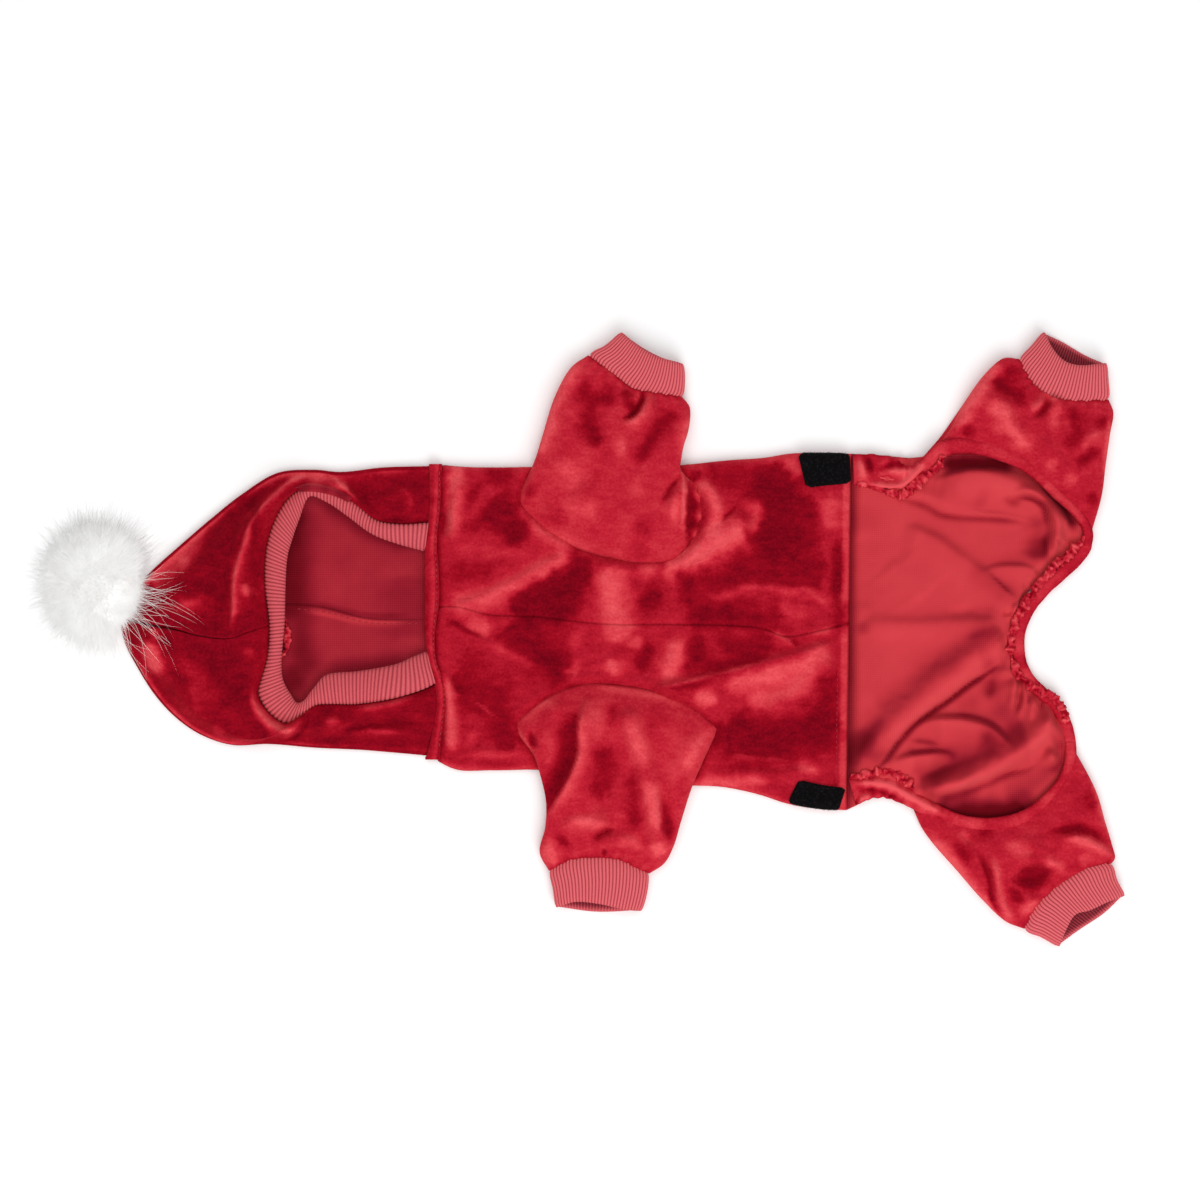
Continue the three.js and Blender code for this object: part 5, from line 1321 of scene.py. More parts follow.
def limb_piece(name, limb, folds, pile, base, length, seed):
    """A sleeve or a leg: a flat tube, gathered onto its cuff."""
    along = np.linspace(0, 1, int(length / GRID) + 1)
    place, z, a, c, rise = tube_grid(limb, along, int(LIMB_ROUND / GRID), LIMB_WIDTH)
    x, y = place[..., 0], place[..., 1]
    top = smoothstep(rise, 0.2, 0.95)
    from_seam, from_cuff = a * length, (1 - a) * length
    fold = strokes(folds, x, y) + crumple(x, y, seed)
    z = z + top * fold * smoothstep(from_cuff, 0, 5)
    if name.startswith("sleeve"):
        z -= top * 0.6 * fade(from_seam, 1.4)
    around = c * 60 + (rise < 0) * 60
    pleats = np.exp(-from_cuff / 7) * edge_gathers(around, from_cuff, 5.5, seed + 4)
    z += top * (1.1 * pleats - 0.7 * fade(from_cuff, 1.2))
    # the pile table holds the nap's patches and also painted shade and painted highlights along the folds;
    # the tube's sides, where it rolls over, get a painted sheen, the gathers at the cuff painted shade, and
    # the pleats painted light on their crests and shade between
    tone = base + LIMB_STROKES * strokes(pile, x, y, PILE_POWER, PILE_RAGGED) + 0.18 * (1 - np.abs(rise)) ** 2
    tone -= 0.16 * fade(from_cuff, 1.8)
    tone += 0.10 * pleats
    points = np.dstack([x, y, np.maximum(z, 0)])
    return velour(f"{name}_velour", points, tone, ring=True, upward=limb["side"] == "right")


def rib_wave(distance):
    """From 0 on a rib's crest to 1 down in the valley."""
    return (1 - np.abs(np.cos(np.pi * distance / RIB_PITCH))) ** 1.5


def cuff(name, limb, data, tuck):
    """A rib-knit cuff, which starts `tuck` inside the velour that is gathered onto it."""
    sign = 1 if limb["side"] == "left" else -1

    def start(rows):
        points = plan(rows)(np.linspace(0.03, 0.97, 60))
        way = unit(np.gradient(points, axis=0))
        return points - sign * tuck * np.c_[-way[:, 1], way[:, 0]]

    top, under = start(limb["end_top"]), start(limb["end_under"])
    top[[0, -1]] = under[[0, -1]] = (top[[0, -1]] + under[[0, -1]]) / 2
    rows = {k: dict(x=v[:, 0], y=v[:, 1]) for k, v in {"top": top, "under": under}.items()}
    for side, corner in (("left", top[0]), ("right", top[-1])):
        rows[side] = dict(x=np.r_[corner[0], data[side]["x"]], y=np.r_[corner[1], data[side]["y"]])
    mouth = dict(rows, end_top=data["mouth_top"], end_under=data["mouth_under"], height=CUFF_HEIGHT)
    ribs = int(round(CUFF_ROUND * plan(limb["end_top"]).length / RIB_PITCH))
    count = ribs * RIB_POINTS
    along = np.linspace(0, 1, 13)
    place, z, a, _, _ = tube_grid(mouth, along, count, CUFF_WIDTH)
    z = np.maximum(z, VELOUR * (1 - smoothstep(a, 0.05, 0.2)))  # above the velour's lower layer
    points = np.dstack([place[..., 0], place[..., 1], z])
    normal = grid_normals(points, True) * -sign
    valley = np.broadcast_to(rib_wave(np.arange(count) / RIB_POINTS * RIB_PITCH)[None, :], a.shape)
    thick = RIB * np.sqrt(np.clip(1 - ((a - 0.86) / 0.16) ** 2 * (a > 0.86), 0.12, 1))
    middle = points - normal * RIB / 2
    outer = middle + normal * (thick / 2 - RIB_DEPTH * valley)[..., None]
    inner = middle - normal * (thick / 2 - RIB_DEPTH * valley * 0.8)[..., None]
    outer[..., 2], inner[..., 2] = np.maximum(outer[..., 2], 0), np.maximum(inner[..., 2], 0.6)
    solid, faces, kinds = shell(outer, inner, True)
    # painted shade: darker in the rib valleys, and on the inside darker away from the mouth
    outside, within = 0.62 * valley, 0.34 * valley + 0.56 * smoothstep(1 - a, 0.0, 0.16)
    return make_piece(f"{name}_rib", solid, faces, 0 * kinds, [RIB_KNIT],
                      valley=np.concatenate([outside.ravel(), within.ravel()]))


# ---- hood ----
def under_neck(x, y):
    """How far the hood's edge is drawn towards the tail, so that it runs on under the neck's casing."""
    reach = column(NECK_EDGES, "y", "left", y) + NECK_TUCK - HOOD_NECK_X
    return reach * (1 - smoothstep(HOOD_NECK_X - x, 0, 25))


def hood(side):
    """Half of the hood, folded flat: its upper side, the fold at its edge and its lower side to the nape."""
    left = side == "left"
    edge = plan(HOOD_EDGE_LEFT if left else HOOD_EDGE_RIGHT)
    rows = slice(0, CROWN_ROW + 1) if left else slice(None, CROWN_ROW - 1, -1)
    face = line(FACE_RIB["seam_x"][rows], FACE_RIB["seam_y"][rows])
    nape = plan(NAPE_SEAM)
    top = coons(straight(face(0.0), edge(0.0)), plan(CROWN_SEAM), face, edge)
    under = coons(straight(edge(0.0), nape(0.0)), straight(edge(1.0), nape(1.0)), edge, nape)
    a = np.linspace(0, 1, 132)[:, None]
    width = np.linalg.norm(face(a[:, 0]) - edge(a[:, 0]), axis=1)[:, None]
    depth = np.linalg.norm(edge(a[:, 0]) - nape(a[:, 0]), axis=1)[:, None]
    share = np.linspace(0, 1, 54)[None, :]
    count = share.size
    inset = HOOD_FOLD + (1 - share) * (width - HOOD_FOLD)
    crown, lip = column(HOOD_HEIGHT, "at", "crown", a), column(HOOD_HEIGHT, "at", "lip", a)
    flat = 2 * HOOD_FOLD
    rise = flat + (crown - flat) * smoothstep(inset, HOOD_FOLD, 22)
    from_face, from_crown = share * width, (1 - a) * edge.length
    blend = fade(from_face, 5)
    place = top(1 - inset / width, a + 0 * inset)
    calm = smoothstep(inset, 2, 9) * smoothstep(from_face, 0.0, 3)
    z = rise * (1 - blend) + lip * blend + calm * (0.85 * strokes(HOOD_FOLDS, place[..., 0], place[..., 1])
                                                   + crumple(place[..., 0], place[..., 1], 21))
    z -= 0.8 * fade(from_crown, 1.4) + 1.0 * fade(from_face, 1.0)
    upper = np.dstack([place, z])
    angle = np.linspace(np.pi / 2, -np.pi / 2, 9)[None, 1:-1]
    fold_inset = HOOD_FOLD * (1 - np.cos(angle)) + 0 * a
    fold_height = HOOD_FOLD * (1 + np.sin(angle)) + 0 * a
    fold = np.dstack([top(1 - fold_inset / width, a + 0 * fold_inset), fold_height])
    low = np.linspace(0, 1, 40)[None, :]
    low_inset = np.minimum(HOOD_FOLD, depth / 2) * (1 - low) + low * depth
    lower = np.dstack([under(low_inset / depth, a + 0 * low_inset), 0 * low_inset])
    points = np.concatenate([upper, fold, lower], 1)
    x, y = points[..., 0], points[..., 1]
    x += under_neck(x, y)
    tone = np.zeros(x.shape)
    # the hood's strokes hold the pile's nap patches with painted shade and painted highlights along its folds
    # and rolled edge; the nape inside gets painted shade, deepest beside the rib band
    tone[:, :count] = HOOD_STROKES * strokes(HOOD_NAP_AND_PAINTED_SHADING, x[:, :count], y[:, :count], PILE_POWER, PILE_RAGGED)
    tone[:, -low.size:] = NAPE_TONE + 0.8 * strokes(NAPE_PAINTED_SHADING, x[:, -low.size:], y[:, -low.size:])
    # painted highlight along the folded edge, and painted shade along the face and crown seams
    tone[:, :count] += 0.25 * fade(inset - HOOD_FOLD, 2.5)
    tone[:, :count] -= 0.15 * fade(from_face, 1.2) + 0.10 * fade(from_crown, 1.2)
    return velour(f"hood_{side}_velour", points, tone, upward=not left)


def face_band():
    """The doubled rib band round the face, its ribs square to its seam."""
    place = np.arange(len(FACE_RIB["seam_x"]), dtype=float)
    seam = line(FACE_RIB["seam_x"], FACE_RIB["seam_y"])
    count = int(seam.length / RIB_PITCH) * RIB_POINTS + 1
    along = np.linspace(0, place[-1], count)
    at = {k: hermite(place, FACE_RIB[k], along) for k in FACE_RIB}
    # ribs lie evenly along the band, so stations are spaced by its length
    run = np.r_[0, np.cumsum(np.hypot(np.diff(at["seam_x"]) + np.diff(at["edge_x"]),
                                      np.diff(at["seam_y"]) + np.diff(at["edge_y"])) / 2)]
    even = np.interp(np.linspace(0, run[-1], count), run, along)
    at = {k: hermite(place, FACE_RIB[k], even) for k in FACE_RIB}
    ribs = np.linspace(0, run[-1], count)
    start = np.c_[at["seam_x"], at["seam_y"], np.full(count, LIP_HEIGHT - 1.2)]
    end = np.c_[at["edge_x"], at["edge_y"], at["edge_z"]]
    way = end - start
    start = start + 0.6 * way / np.linalg.norm(way[:, :2], axis=1, keepdims=True)
    share = np.linspace(0, 1, 12)[None, :, None]
    points = start[:, None] * (1 - share) + end[:, None] * share
    points[..., 0] += under_neck(points[..., 0], points[..., 1])
    points[..., 2] += 1.9 * np.sin(np.pi * share[..., 0] ** 0.8)
    normal = upward_normals(points)
    valley = np.broadcast_to(rib_wave(ribs)[:, None], points.shape[:2])
    share = share[..., 0]
    half = RIB / 2 * np.sqrt(np.clip(1 - (np.clip(share - 0.82, 0, 1) / 0.19) ** 2, 0.08, 1))
    outer = points + normal * (half - RIB_DEPTH * valley)[..., None]
    inner = points - normal * (half - RIB_DEPTH * valley * 0.7)[..., None]
    solid, faces, kinds = shell(outer, inner)
    # the valley attribute is painted shade in the valleys between the ribs
    return make_piece("hood_rib_band_rib", solid, faces, 0 * kinds, [RIB_KNIT],
                      valley=0.19 + 0.44 * both_sides(valley))


def neck_casing():
    """The velour rolled round the neck's elastic: one soft tube round the whole neck opening."""
    across, rise = section(300, 163, 9.4, 4.0)
    stations = np.linspace(0, 1, 15)[:, None]
    y = NECK_FROM + NECK_LONG * (1 - across[None, :]) + 0 * stations
    near, far = column(NECK_EDGES, "y", "left", y), column(NECK_EDGES, "y", "right", y)
    x = near + (far - near) * stations
    bulge = np.sqrt(np.clip(1 - (2 * stations - 1) ** 2, 0.02, 1))
    ripples = 0.4 * edge_gathers(y, stations * 10, 13.0, 51) + 0.5 * unevenness(y, stations, 22, 53)
    z = 4.5 + rise[None, :] * (2.0 + 3.6 * bulge) + (rise[None, :] > 0.5) * ripples * bulge
    groove = fade(stations - STITCHED_AT, 0.06)
    z -= (rise[None, :] > 0.3) * 0.9 * groove
    points = np.dstack([x, y, np.maximum(z, 0)])
    # painted highlight along the roll's crown, painted shade in the stitched groove, and painted light and
    # shade on the ripples
    tone = 0.30 + 0.26 * fade(stations - 0.62, 0.22) - 0.25 * groove + 0.12 * ripples
    return velour("neck_band_velour", points, tone + 0 * y, ring=True, upward=False)


# ---- elastic edges ----
def along_edge(rows, step):
    """Stations along an elastic edge: how far on each is, its x, y, z and width, and the way across it."""
    path = line(rows["x"], rows["y"], rows["z"], rows["wide"])
    t = np.linspace(0, 1, int(path.length / step))
    middle = path(t)
    way = unit(np.gradient(middle[:, :2], axis=0))
    return (t * path.length)[:, None], middle, np.c_[way[:, 1], -way[:, 0]]


def binding(name, rows, seed):
    """A casing drawn up on elastic: a soft tube, nearly smooth where it lies along a limb's opening and in
    uneven pleats where it is drawn up at the side of the body."""
    run, middle, side = along_edge(rows, CASING_STEP)
    angle = np.linspace(0, 2 * np.pi, CASING_POINTS, endpoint=False)[None, :]
    s = run + 0 * angle
    drawn_up = 1 - smoothstep(middle[:, 0:1], DRAWN_UP_TO - 14, DRAWN_UP_TO)
    pleat = (0.12 + 0.5 * drawn_up) * edge_gathers(s, angle * 2, 7.0, seed)
    pleat += 0.12 * edge_gathers(s, angle * 5, 3.4, seed + 3)
    swell = 1 + 0.10 * pleat + 0.10 * unevenness(s, angle * 2, 13, seed + 5)
    half = middle[:, 3:4] / 2
    cos, sin = np.cos(angle), np.sin(angle)
    rounded = np.sign(cos) * np.abs(cos) ** 0.8
    x = middle[:, 0:1] + side[:, 0:1] * rounded * half * swell
    y = middle[:, 1:2] + side[:, 1:2] * rounded * half * swell
    fold = 1.3 * strokes(SIDE_FOLDS, x, y) * smoothstep(sin, -0.1, 0.5)
    z = middle[:, 2:3] + sin * 2.3 * swell + 0.5 * drawn_up + np.maximum(fold, -CASING_DEPTH)
    points = np.dstack([x, y, z])
    # painted light and shade: lighter on the pleats' and folds' crests and darker between them, and lighter
    # on the tube's top and underside than on its sides; the uneven term is the velour's own patchy tone
    tone = 0.44 + 0.16 * pleat + 0.2 * unevenness(s, angle, 9, seed + 9) + 0.16 * sin ** 2
    tone += 0.18 * fold
    core = middle[:, None, :3]
    solid, faces, kinds = shell(points, core + (points - core) * 0.45, True)
    return make_piece(f"{name}_velour", solid, faces, np.minimum(kinds, 1), [VELOUR_FACE, BACKING],
                      nap=both_sides(tone))


RUFFLES = dict(
    tail=table("x y z wide", (272.5, 52.5, 7, 3), (267, 47.5, 7, 4.4), (262.8, 43.4, 7, 4.2),
               (257.2, 39.2, 7, 4.4), (252.6, 33.5, 7, 3.2), (249.8, 30.4, 7, 3.6), (244.6, 23.8, 7, 4.4),
               (239.4, 16.8, 7, 4.2), (235.4, 8.4, 7, 3.8), (234.4, 2.8, 7, 3.6), (233, -5.5, 7, 4.2),
               (233.4, -11, 5.5, 1.6), (235, -15, 7, 3.4), (237.2, -18.6, 7, 4.6), (241, -23.8, 7, 4.2),
               (246.4, -27.6, 7, 4.8), (253, -30, 7, 4.4), (258.6, -35, 7, 4), (262.4, -40.6, 7, 4.4),
               (262.6, -47.5, 6, 2)),
    left=table("x y z wide", (149, 84.5, 7.4, 2), (156, 83.6, 7.4, 3), (163, 81.2, 7.4, 3.6),
               (170, 79, 7, 4.4), (176, 79.8, 7.4, 5), (180, 83.4, 8, 4.2), (184, 87.4, 8.4, 4.8),
               (188.6, 90.4, 8.4, 4.6), (192.4, 94.4, 8.4, 5), (195.4, 98.6, 8.4, 4),
               (196.6, 102, 8.4, 2)),
    right=table("x y z wide", (144.5, -76.6, 7, 2), (150, -75.8, 7, 3.6), (156, -74.4, 7, 4.4),
                (162, -73.6, 7, 4), (168, -74.6, 7, 4.6), (173, -76.6, 7, 4.4), (177.6, -79.8, 7, 4.4),
                (180, -83.5, 6.6, 2.4)),
    nape=table("x y z wide", (-168, 12, 3, 1.8), (-165.4, 6, 3.2, 2.8), (-164.2, 0, 3.2, 3),
               (-165, -6, 3.2, 2.8), (-168, -11.5, 3, 1.8)))


def ruffle(name, rows, seed):
    """The overlocked raw edge inside an elastic casing: cloth and loose thread crowded into small uneven
    tufts."""
    run, middle, side = along_edge(rows, RUFFLE_STEP)
    angle = np.linspace(0, 2 * np.pi, RUFFLE_POINTS, endpoint=False)[None, :]
    s = run + 0 * angle
    u, v = 2.2 * np.cos(angle), 2.2 * np.sin(angle)
    tuft = 0.5 + 0.5 * unevenness(s, 0.5 * u, 3.2, seed)
    lump = unevenness(s, u + 0.4 * v, 1.6, seed + 2) + 0.8 * unevenness(s, v - 0.4 * u, 0.9, seed + 4)
    radius = middle[:, 3:4] / 2 * (0.66 + 0.95 * tuft + 0.46 * lump)
    drift = 0.7 * unevenness(s, 0 * s, 4, seed + 6)
    x = middle[:, 0:1] + side[:, 0:1] * (drift + radius * np.cos(angle))
    y = middle[:, 1:2] + side[:, 1:2] * (drift + radius * np.cos(angle))
    z = middle[:, 2:3] + 0.7 * unevenness(s, 0 * s, 4, seed + 8) + 0.9 * radius * np.sin(angle)
    points = np.dstack([x, y, z])
    # painted light and shade: the tufts that stand out are made lighter and the pockets between them darker
    tone = 0.34 + 0.52 * tuft + 0.34 * lump
    core = middle[:, None, :3]
    solid, faces, kinds = shell(points, core + (points - core) * 0.5, True)
    return make_piece(f"ruffle_{name}", solid, faces, 0 * kinds, [VELOUR_FACE], nap=both_sides(tone))


# ---- hook-and-loop squares ----
def rounded_square(u, v, corner=0.10):
    """Moves a unit square's rim points in at the corners."""
    a, b = 2 * u - 1, 2 * v - 1
    pull = corner * np.clip(np.abs(a) - 0.8, 0, 1) / 0.2 * np.clip(np.abs(b) - 0.8, 0, 1) / 0.2
    return (a * (1 - pull) + 1) / 2, (b * (1 - pull) + 1) / 2


def patch_grid(name, rise):
    """A hook-and-loop square on the belly: its grid, its normals, and its face `rise` above the cloth."""
    side = name.split("_")[1]
    rows = PATCHES[name]
    along, across = np.linspace(0, 1, PATCH_POINTS[0]), np.linspace(0, 1, PATCH_POINTS[1])
    u, v = rounded_square(*np.meshgrid(along, across, indexing="ij"))
    corner = np.stack([rows["x"], rows["inset"]], -1)
    flat = ((corner[0] * (1 - u)[..., None] + corner[1] * u[..., None]) * (1 - v)[..., None]
            + (corner[3] * (1 - u)[..., None] + corner[2] * u[..., None]) * v[..., None])
    x, inset = flat[..., 0], flat[..., 1]
    edge = column(BODY, "x", side, x)
    y = edge - inset if side == "left" else edge + inset
    points = np.dstack([x, y, BELLY_TOP - side_drop(inset) + 0.35 * unevenness(x, y, 12, 77)])
    normal = upward_normals(points)
    rim = np.minimum(np.minimum(u, 1 - u) * 28, np.minimum(v, 1 - v) * 17)
    soft = smoothstep(rim, 0, 1.3)
    return points, normal, points + normal * (rise * (0.55 + 0.45 * soft))[..., None]


def patch(name):
    points, normal, outer = patch_grid(name, PATCH_RISE)
    x, y = outer[..., 0], outer[..., 1]
    rough = 0.16 * unevenness(x, y, 1.1, 81) + 0.10 * unevenness(x, y, 0.6, 83)
    outer = outer + normal * rough[..., None]
    solid, faces, kinds = shell(outer, points + normal * 0.5)
    return make_piece(f"{name}_tape", solid, faces, 0 * kinds, [TAPE])


def hairs(name, roots, ways, lengths, radius, bends, material, segments=2):
    """Many tapered hairs as one mesh: each bends from its root's way towards `bends`."""
    count = len(roots)
    side = unit(np.cross(ways, [0.31, 0.52, 0.79]))
    other = np.cross(ways, side)
    rings = []
    for k in range(segments):
        t = k / segments
        centre = roots + ways * (lengths * t)[:, None] + bends * (lengths * t * t)[:, None]
        size = radius * (1 - 0.72 * t)
        rings.append(np.stack([centre + size * (math.cos(a) * side + math.sin(a) * other)
                               for a in (0, 2 * math.pi / 3, 4 * math.pi / 3)], 1))
    tips = (roots + ways * lengths[:, None] + bends * lengths[:, None])[:, None]
    points = np.concatenate([*rings, tips], 1)
    each = points.shape[1]
    base = (np.arange(count) * each)[:, None, None]
    faces = []
    for k in range(segments - 1):
        for a in range(3):
            b = (a + 1) % 3
            p, q, r, s = 3 * k + a, 3 * k + b, 3 * k + 3 + b, 3 * k + 3 + a
            faces += [[p, q, r], [p, r, s]]
    last = 3 * (segments - 1)
    faces += [[last + a, last + (a + 1) % 3, each - 1] for a in range(3)]
    faces = (np.array(faces)[None] + base).reshape(-1, 3)
    return make_piece(name, points.reshape(-1, 3), faces, np.zeros(len(faces), int), [material])


def tape_fuzz(name, seed):
    """The short hooks and stray fibres that stand on a hook-and-loop square."""
    rng = np.random.default_rng(seed)
    _, normal, outer = patch_grid(name, PATCH_RISE)
    count = FUZZ_HAIRS
    pick = rng.integers(0, [outer.shape[0] - 1, outer.shape[1] - 1], (count, 2))
    roots = outer[pick[:, 0], pick[:, 1]] + rng.uniform(-0.3, 0.3, (count, 3)) * (1, 1, 0)
    ways = unit(normal[pick[:, 0], pick[:, 1]] + rng.normal(0, 0.5, (count, 3)))
    return hairs(f"{name}_fuzz", roots - ways * 0.2, ways, rng.uniform(0.4, 1.0, count), FUZZ_RADIUS,
                 rng.normal(0, 0.5, (count, 3)), TAPE)


# ---- pompom ----
def fur_roots(count, seed, deepest, lean):
    """Random hairs over the pompom: the way out where each stands, its root and the way it starts out."""
    rng = np.random.default_rng(seed)
    out = unit(rng.normal(0, 1, (count, 3)))
    out[:, 2] = np.where(out[:, 2] < FUR_UNDERSIDE, -out[:, 2], out[:, 2])
    roots = POMPOM_CENTRE + out * POMPOM_REACH * CORE_SHARE * rng.uniform(deepest, 1.0, (count, 1))
    ways = unit(out * POMPOM_REACH / POMPOM_REACH.max() + rng.normal(0, lean, out.shape))
    return rng, out, roots, ways


def pressed_by_hood(roots, ways, bends, lengths, rng):
    """The hairs' lengths: short where they would stand over the hood, longer where they point down to it."""
    left, right = plan(HOOD_EDGE_LEFT)(np.linspace(0, 1, 60)), plan(HOOD_EDGE_RIGHT)(np.linspace(1, 0, 60))
    ends = roots + (ways + bends) * lengths[:, None]
    over = inside(np.vstack([left, right]), ends[:, 0], ends[:, 1])
    pressed = rng.uniform(2, 5.5, len(lengths)) + 10 * np.clip(-ways[:, 2], 0, 1)
    return np.where(over, np.minimum(lengths, pressed), lengths)


def above_ground(roots, ways, bends, lengths):
    """The hairs' lengths, short where they would run into the ground."""
    sinking = np.minimum(ways[:, 2] + bends[:, 2], -0.01)
    return np.minimum(lengths, (roots[:, 2] - 0.3) / -sinking)


def pompom_core():
    """The middle of the pompom, where the fur is too dense to see into."""
    down, round_ = np.linspace(0, np.pi, 50), np.linspace(0, 2 * np.pi, 90, endpoint=False)
    u, v = np.meshgrid(down, round_, indexing="ij")
    u = np.clip(u, 0.02, np.pi - 0.02)
    way = np.dstack([np.sin(u) * np.cos(v), np.sin(u) * np.sin(v), np.cos(u)])
    tuft = 1 + 0.07 * unevenness(way[..., 0] * 40 + way[..., 2] * 17, way[..., 1] * 40, 6, 91)
    points = POMPOM_CENTRE + way * POMPOM_REACH * CORE_SHARE * tuft[..., None]
    solid, faces, kinds = shell(points, POMPOM_CENTRE + (points - POMPOM_CENTRE) * 0.6, True)
    return make_piece("pompom_core", solid, faces, 0 * kinds, [FUR])


def undercoat():
    """The short, dense hairs that make the pompom's body."""
    rng, out, roots, ways = fur_roots(UNDERCOAT_HAIRS, 5, 0.9, 0.30)
    lengths = rng.uniform(5, 14, len(out)) * np.where(out[:, 2] > 0.5, 0.8, 1)
    bends = rng.normal(0, 0.26, out.shape)
    lengths = above_ground(roots, ways, bends, pressed_by_hood(roots, ways, bends, lengths, rng))
    return hairs("pompom_undercoat", roots, ways, lengths, UNDERCOAT_RADIUS, bends, FUR)


def guard_hairs():
    """The longer hairs that make its soft outline. They hang a little."""
    rng, out, roots, ways = fur_roots(GUARD_HAIRS, 9, 0.8, 0.28)
    lengths = rng.uniform(9, 25, len(out))
    bends = rng.normal(0, 0.24, out.shape) + np.array([0, 0, -0.16])
    lengths = pressed_by_hood(roots, ways, bends, lengths, rng)
    end = roots + (ways + bends) * lengths[:, None]
    keep = (end[:, 2] > 0.5) & (end[:, 2] < FUR_TOP)
    return hairs("pompom_guard_hair", roots[keep], ways[keep], lengths[keep], GUARD_RADIUS, bends[keep], FUR)


def stray_hairs():
    """Long hairs that lie over the tip of the hood, in a fan from the fur's edge."""
    rng = np.random.default_rng(17)
    count = STRAY_HAIRS
    t = rng.uniform(0, 1, count)
    roots = np.c_[-257 + 12 * t + rng.normal(0, 1.5, count), 10 + 24 * t + rng.normal(0, 2, count),
                  rng.uniform(16, 26, count)]
    aim = np.deg2rad(-70 + 116 * t + rng.normal(0, 20, count))
    ways = unit(np.c_[np.cos(aim), np.sin(aim), rng.normal(0.03, 0.08, count)])
    turn = rng.normal(0, 0.5, count)
    bends = np.c_[-turn * ways[:, 1], turn * ways[:, 0], rng.normal(-0.10, 0.05, count)]
    lengths = 14 + 30 * rng.uniform(0, 1, count) ** 1.3
    return hairs("pompom_stray_hair", roots, ways, lengths, STRAY_RADIUS, bends, FUR, segments=6)


# ---- stitches ----
def stitches(name, points, length, gap, material, radius=0.28):
    """A row of stitches along points on the cloth: short rounded threads with gaps between them."""
    path = line(*points.T)
    count = int(path.length / (length + gap))
    starts = (np.arange(count) + 0.5) / count
    spots, ahead = path(starts - 0.5 * length / path.length), path(starts + 0.5 * length / path.length)
    way = unit(ahead - spots)
    side = unit(np.cross(way, [0, 0, 1]))
    up = np.cross(side, way)
    shares, sizes, lifts = (0, 0.2, 0.5, 0.8, 1), (0.35, 0.9, 1, 0.9, 0.35), (-0.3, 0, 0.1, 0, -0.3)
    rings = []
    for share, size, lift in zip(shares, sizes, lifts):
        centre = spots + (ahead - spots) * share + up * lift
        rings.append(np.stack([centre + radius * size * (math.cos(a) * side + math.sin(a) * up)
                               for a in np.arange(6) * math.pi / 3], 1))
    solid = np.stack(rings, 1)
    base = (np.arange(count) * solid.shape[1] * 6)[:, None, None]
    faces = []
    for k in range(4):
        for a in range(6):
            b = (a + 1) % 6
            faces.append([6 * k + a, 6 * k + b, 6 * k + 6 + b, 6 * k + 6 + a])
    faces += [[3, 2, 1, 0], [5, 4, 3, 0], [24, 25, 26, 27], [24, 27, 28, 29]]
    faces = (np.array(faces)[None] + base).reshape(-1, 4)
    return make_piece(name, solid.reshape(-1, 3), faces, np.zeros(len(faces), int), [material])


def hem_stitches():
    y = np.linspace(-90, 97, 90)
    x = hem_x(y) - HEM_DEPTH
    inset = np.minimum(column(BODY, "x", "left", x) - y, y - column(BODY, "x", "right", x))
    points = np.c_[x, y, belly_height(x, y, inset) - 0.75]
    return stitches("hem_stitches", points, 2.2, 0.9, THREAD, 0.22)


def nape_stitches():
    x = np.linspace(-160, -92, 40)
    y = column(NAPE_SEAM, "x", "y", x) - 2.6
    return stitches("nape_stitches", np.c_[x, y, np.full(40, VELOUR + 0.15)], 2.0, 1.4, THREAD, 0.24)


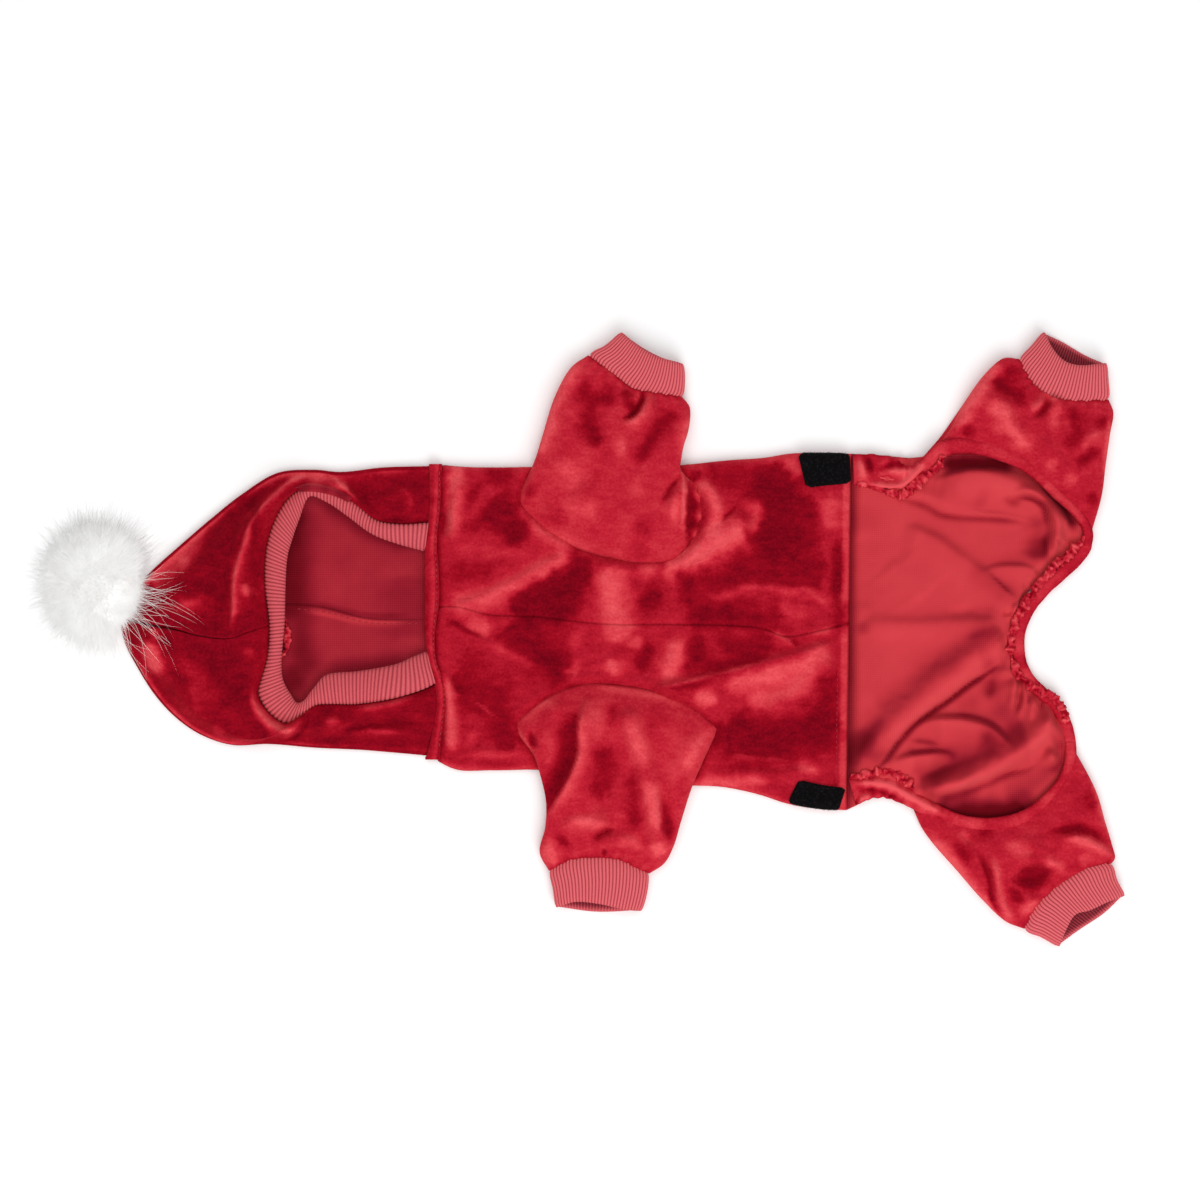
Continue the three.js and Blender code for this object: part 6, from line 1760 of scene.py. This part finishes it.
def neck_stitches():
    y = np.linspace(-60, 92, 80)
    near, far = column(NECK_EDGES, "y", "left", y), column(NECK_EDGES, "y", "right", y)
    x = near + STITCHED_AT * (far - near)
    return stitches("neck_stitches", np.c_[x, y, np.full(80, 8.4)], 2.2, 0.9, THREAD)


def put(piece, slot, *nodes):
    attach(piece, "root")
    if nodes:
        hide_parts(*nodes)
    return piece


put(back(), "velour", "back")
for side, limb in (("left", SLEEVE_LEFT), ("right", SLEEVE_RIGHT)):
    put(front(side, limb), "velour", f"front_{side}")
    put(hood(side), "velour", f"hood_{side}")
put(face_band(), "rib_knit", "hood_rib_band")
put(neck_casing(), "velour", "neck_band")
LIMBS = (("sleeve_left", SLEEVE_LEFT, SLEEVE_LEFT_FOLDS, SLEEVE_LEFT_NAP_AND_PAINTED_SHADING, 0.53, 88, 41),
         ("sleeve_right", SLEEVE_RIGHT, SLEEVE_RIGHT_FOLDS, SLEEVE_RIGHT_NAP_AND_PAINTED_SHADING, 0.51, 90, 43),
         ("leg_left", LEG_LEFT, LEG_LEFT_FOLDS, LEG_LEFT_NAP_AND_PAINTED_SHADING, 0.46, 64, 45),
         ("leg_right", LEG_RIGHT, LEG_RIGHT_FOLDS, LEG_RIGHT_NAP_AND_PAINTED_SHADING, 0.46, 66, 47))
for name, limb, folds, pile, base, length, seed in LIMBS:
    put(limb_piece(name, limb, folds, pile, base, length, seed), "velour", name)
    kind, side = name.split("_")
    cuff_name = f"{kind}_cuff_{side}"
    put(cuff(cuff_name, limb, CUFFS[cuff_name], CUFF_TUCK), "rib_knit", cuff_name)
for number, (name, rows) in enumerate(BINDINGS.items()):
    put(binding(name, rows, 61 + 10 * number), "velour", name)
for number, (name, rows) in enumerate(RUFFLES.items()):
    put(ruffle(name, rows, 91 + 10 * number), "velour")
for number, name in enumerate(PATCHES):
    put(patch(name), "hook_tape", name)
    put(tape_fuzz(name, 121 + number), "hook_tape")
for piece, nodes in ((pompom_core(), ["pompom"]), (undercoat(), []), (guard_hairs(), []),
                     (stray_hairs(), [])):
    piece.visible_shadow = False  # light passes on through the hairs
    put(piece, "fur", *nodes)
put(hem_stitches(), "velour")
put(nape_stitches(), "velour")
put(neck_stitches(), "velour")
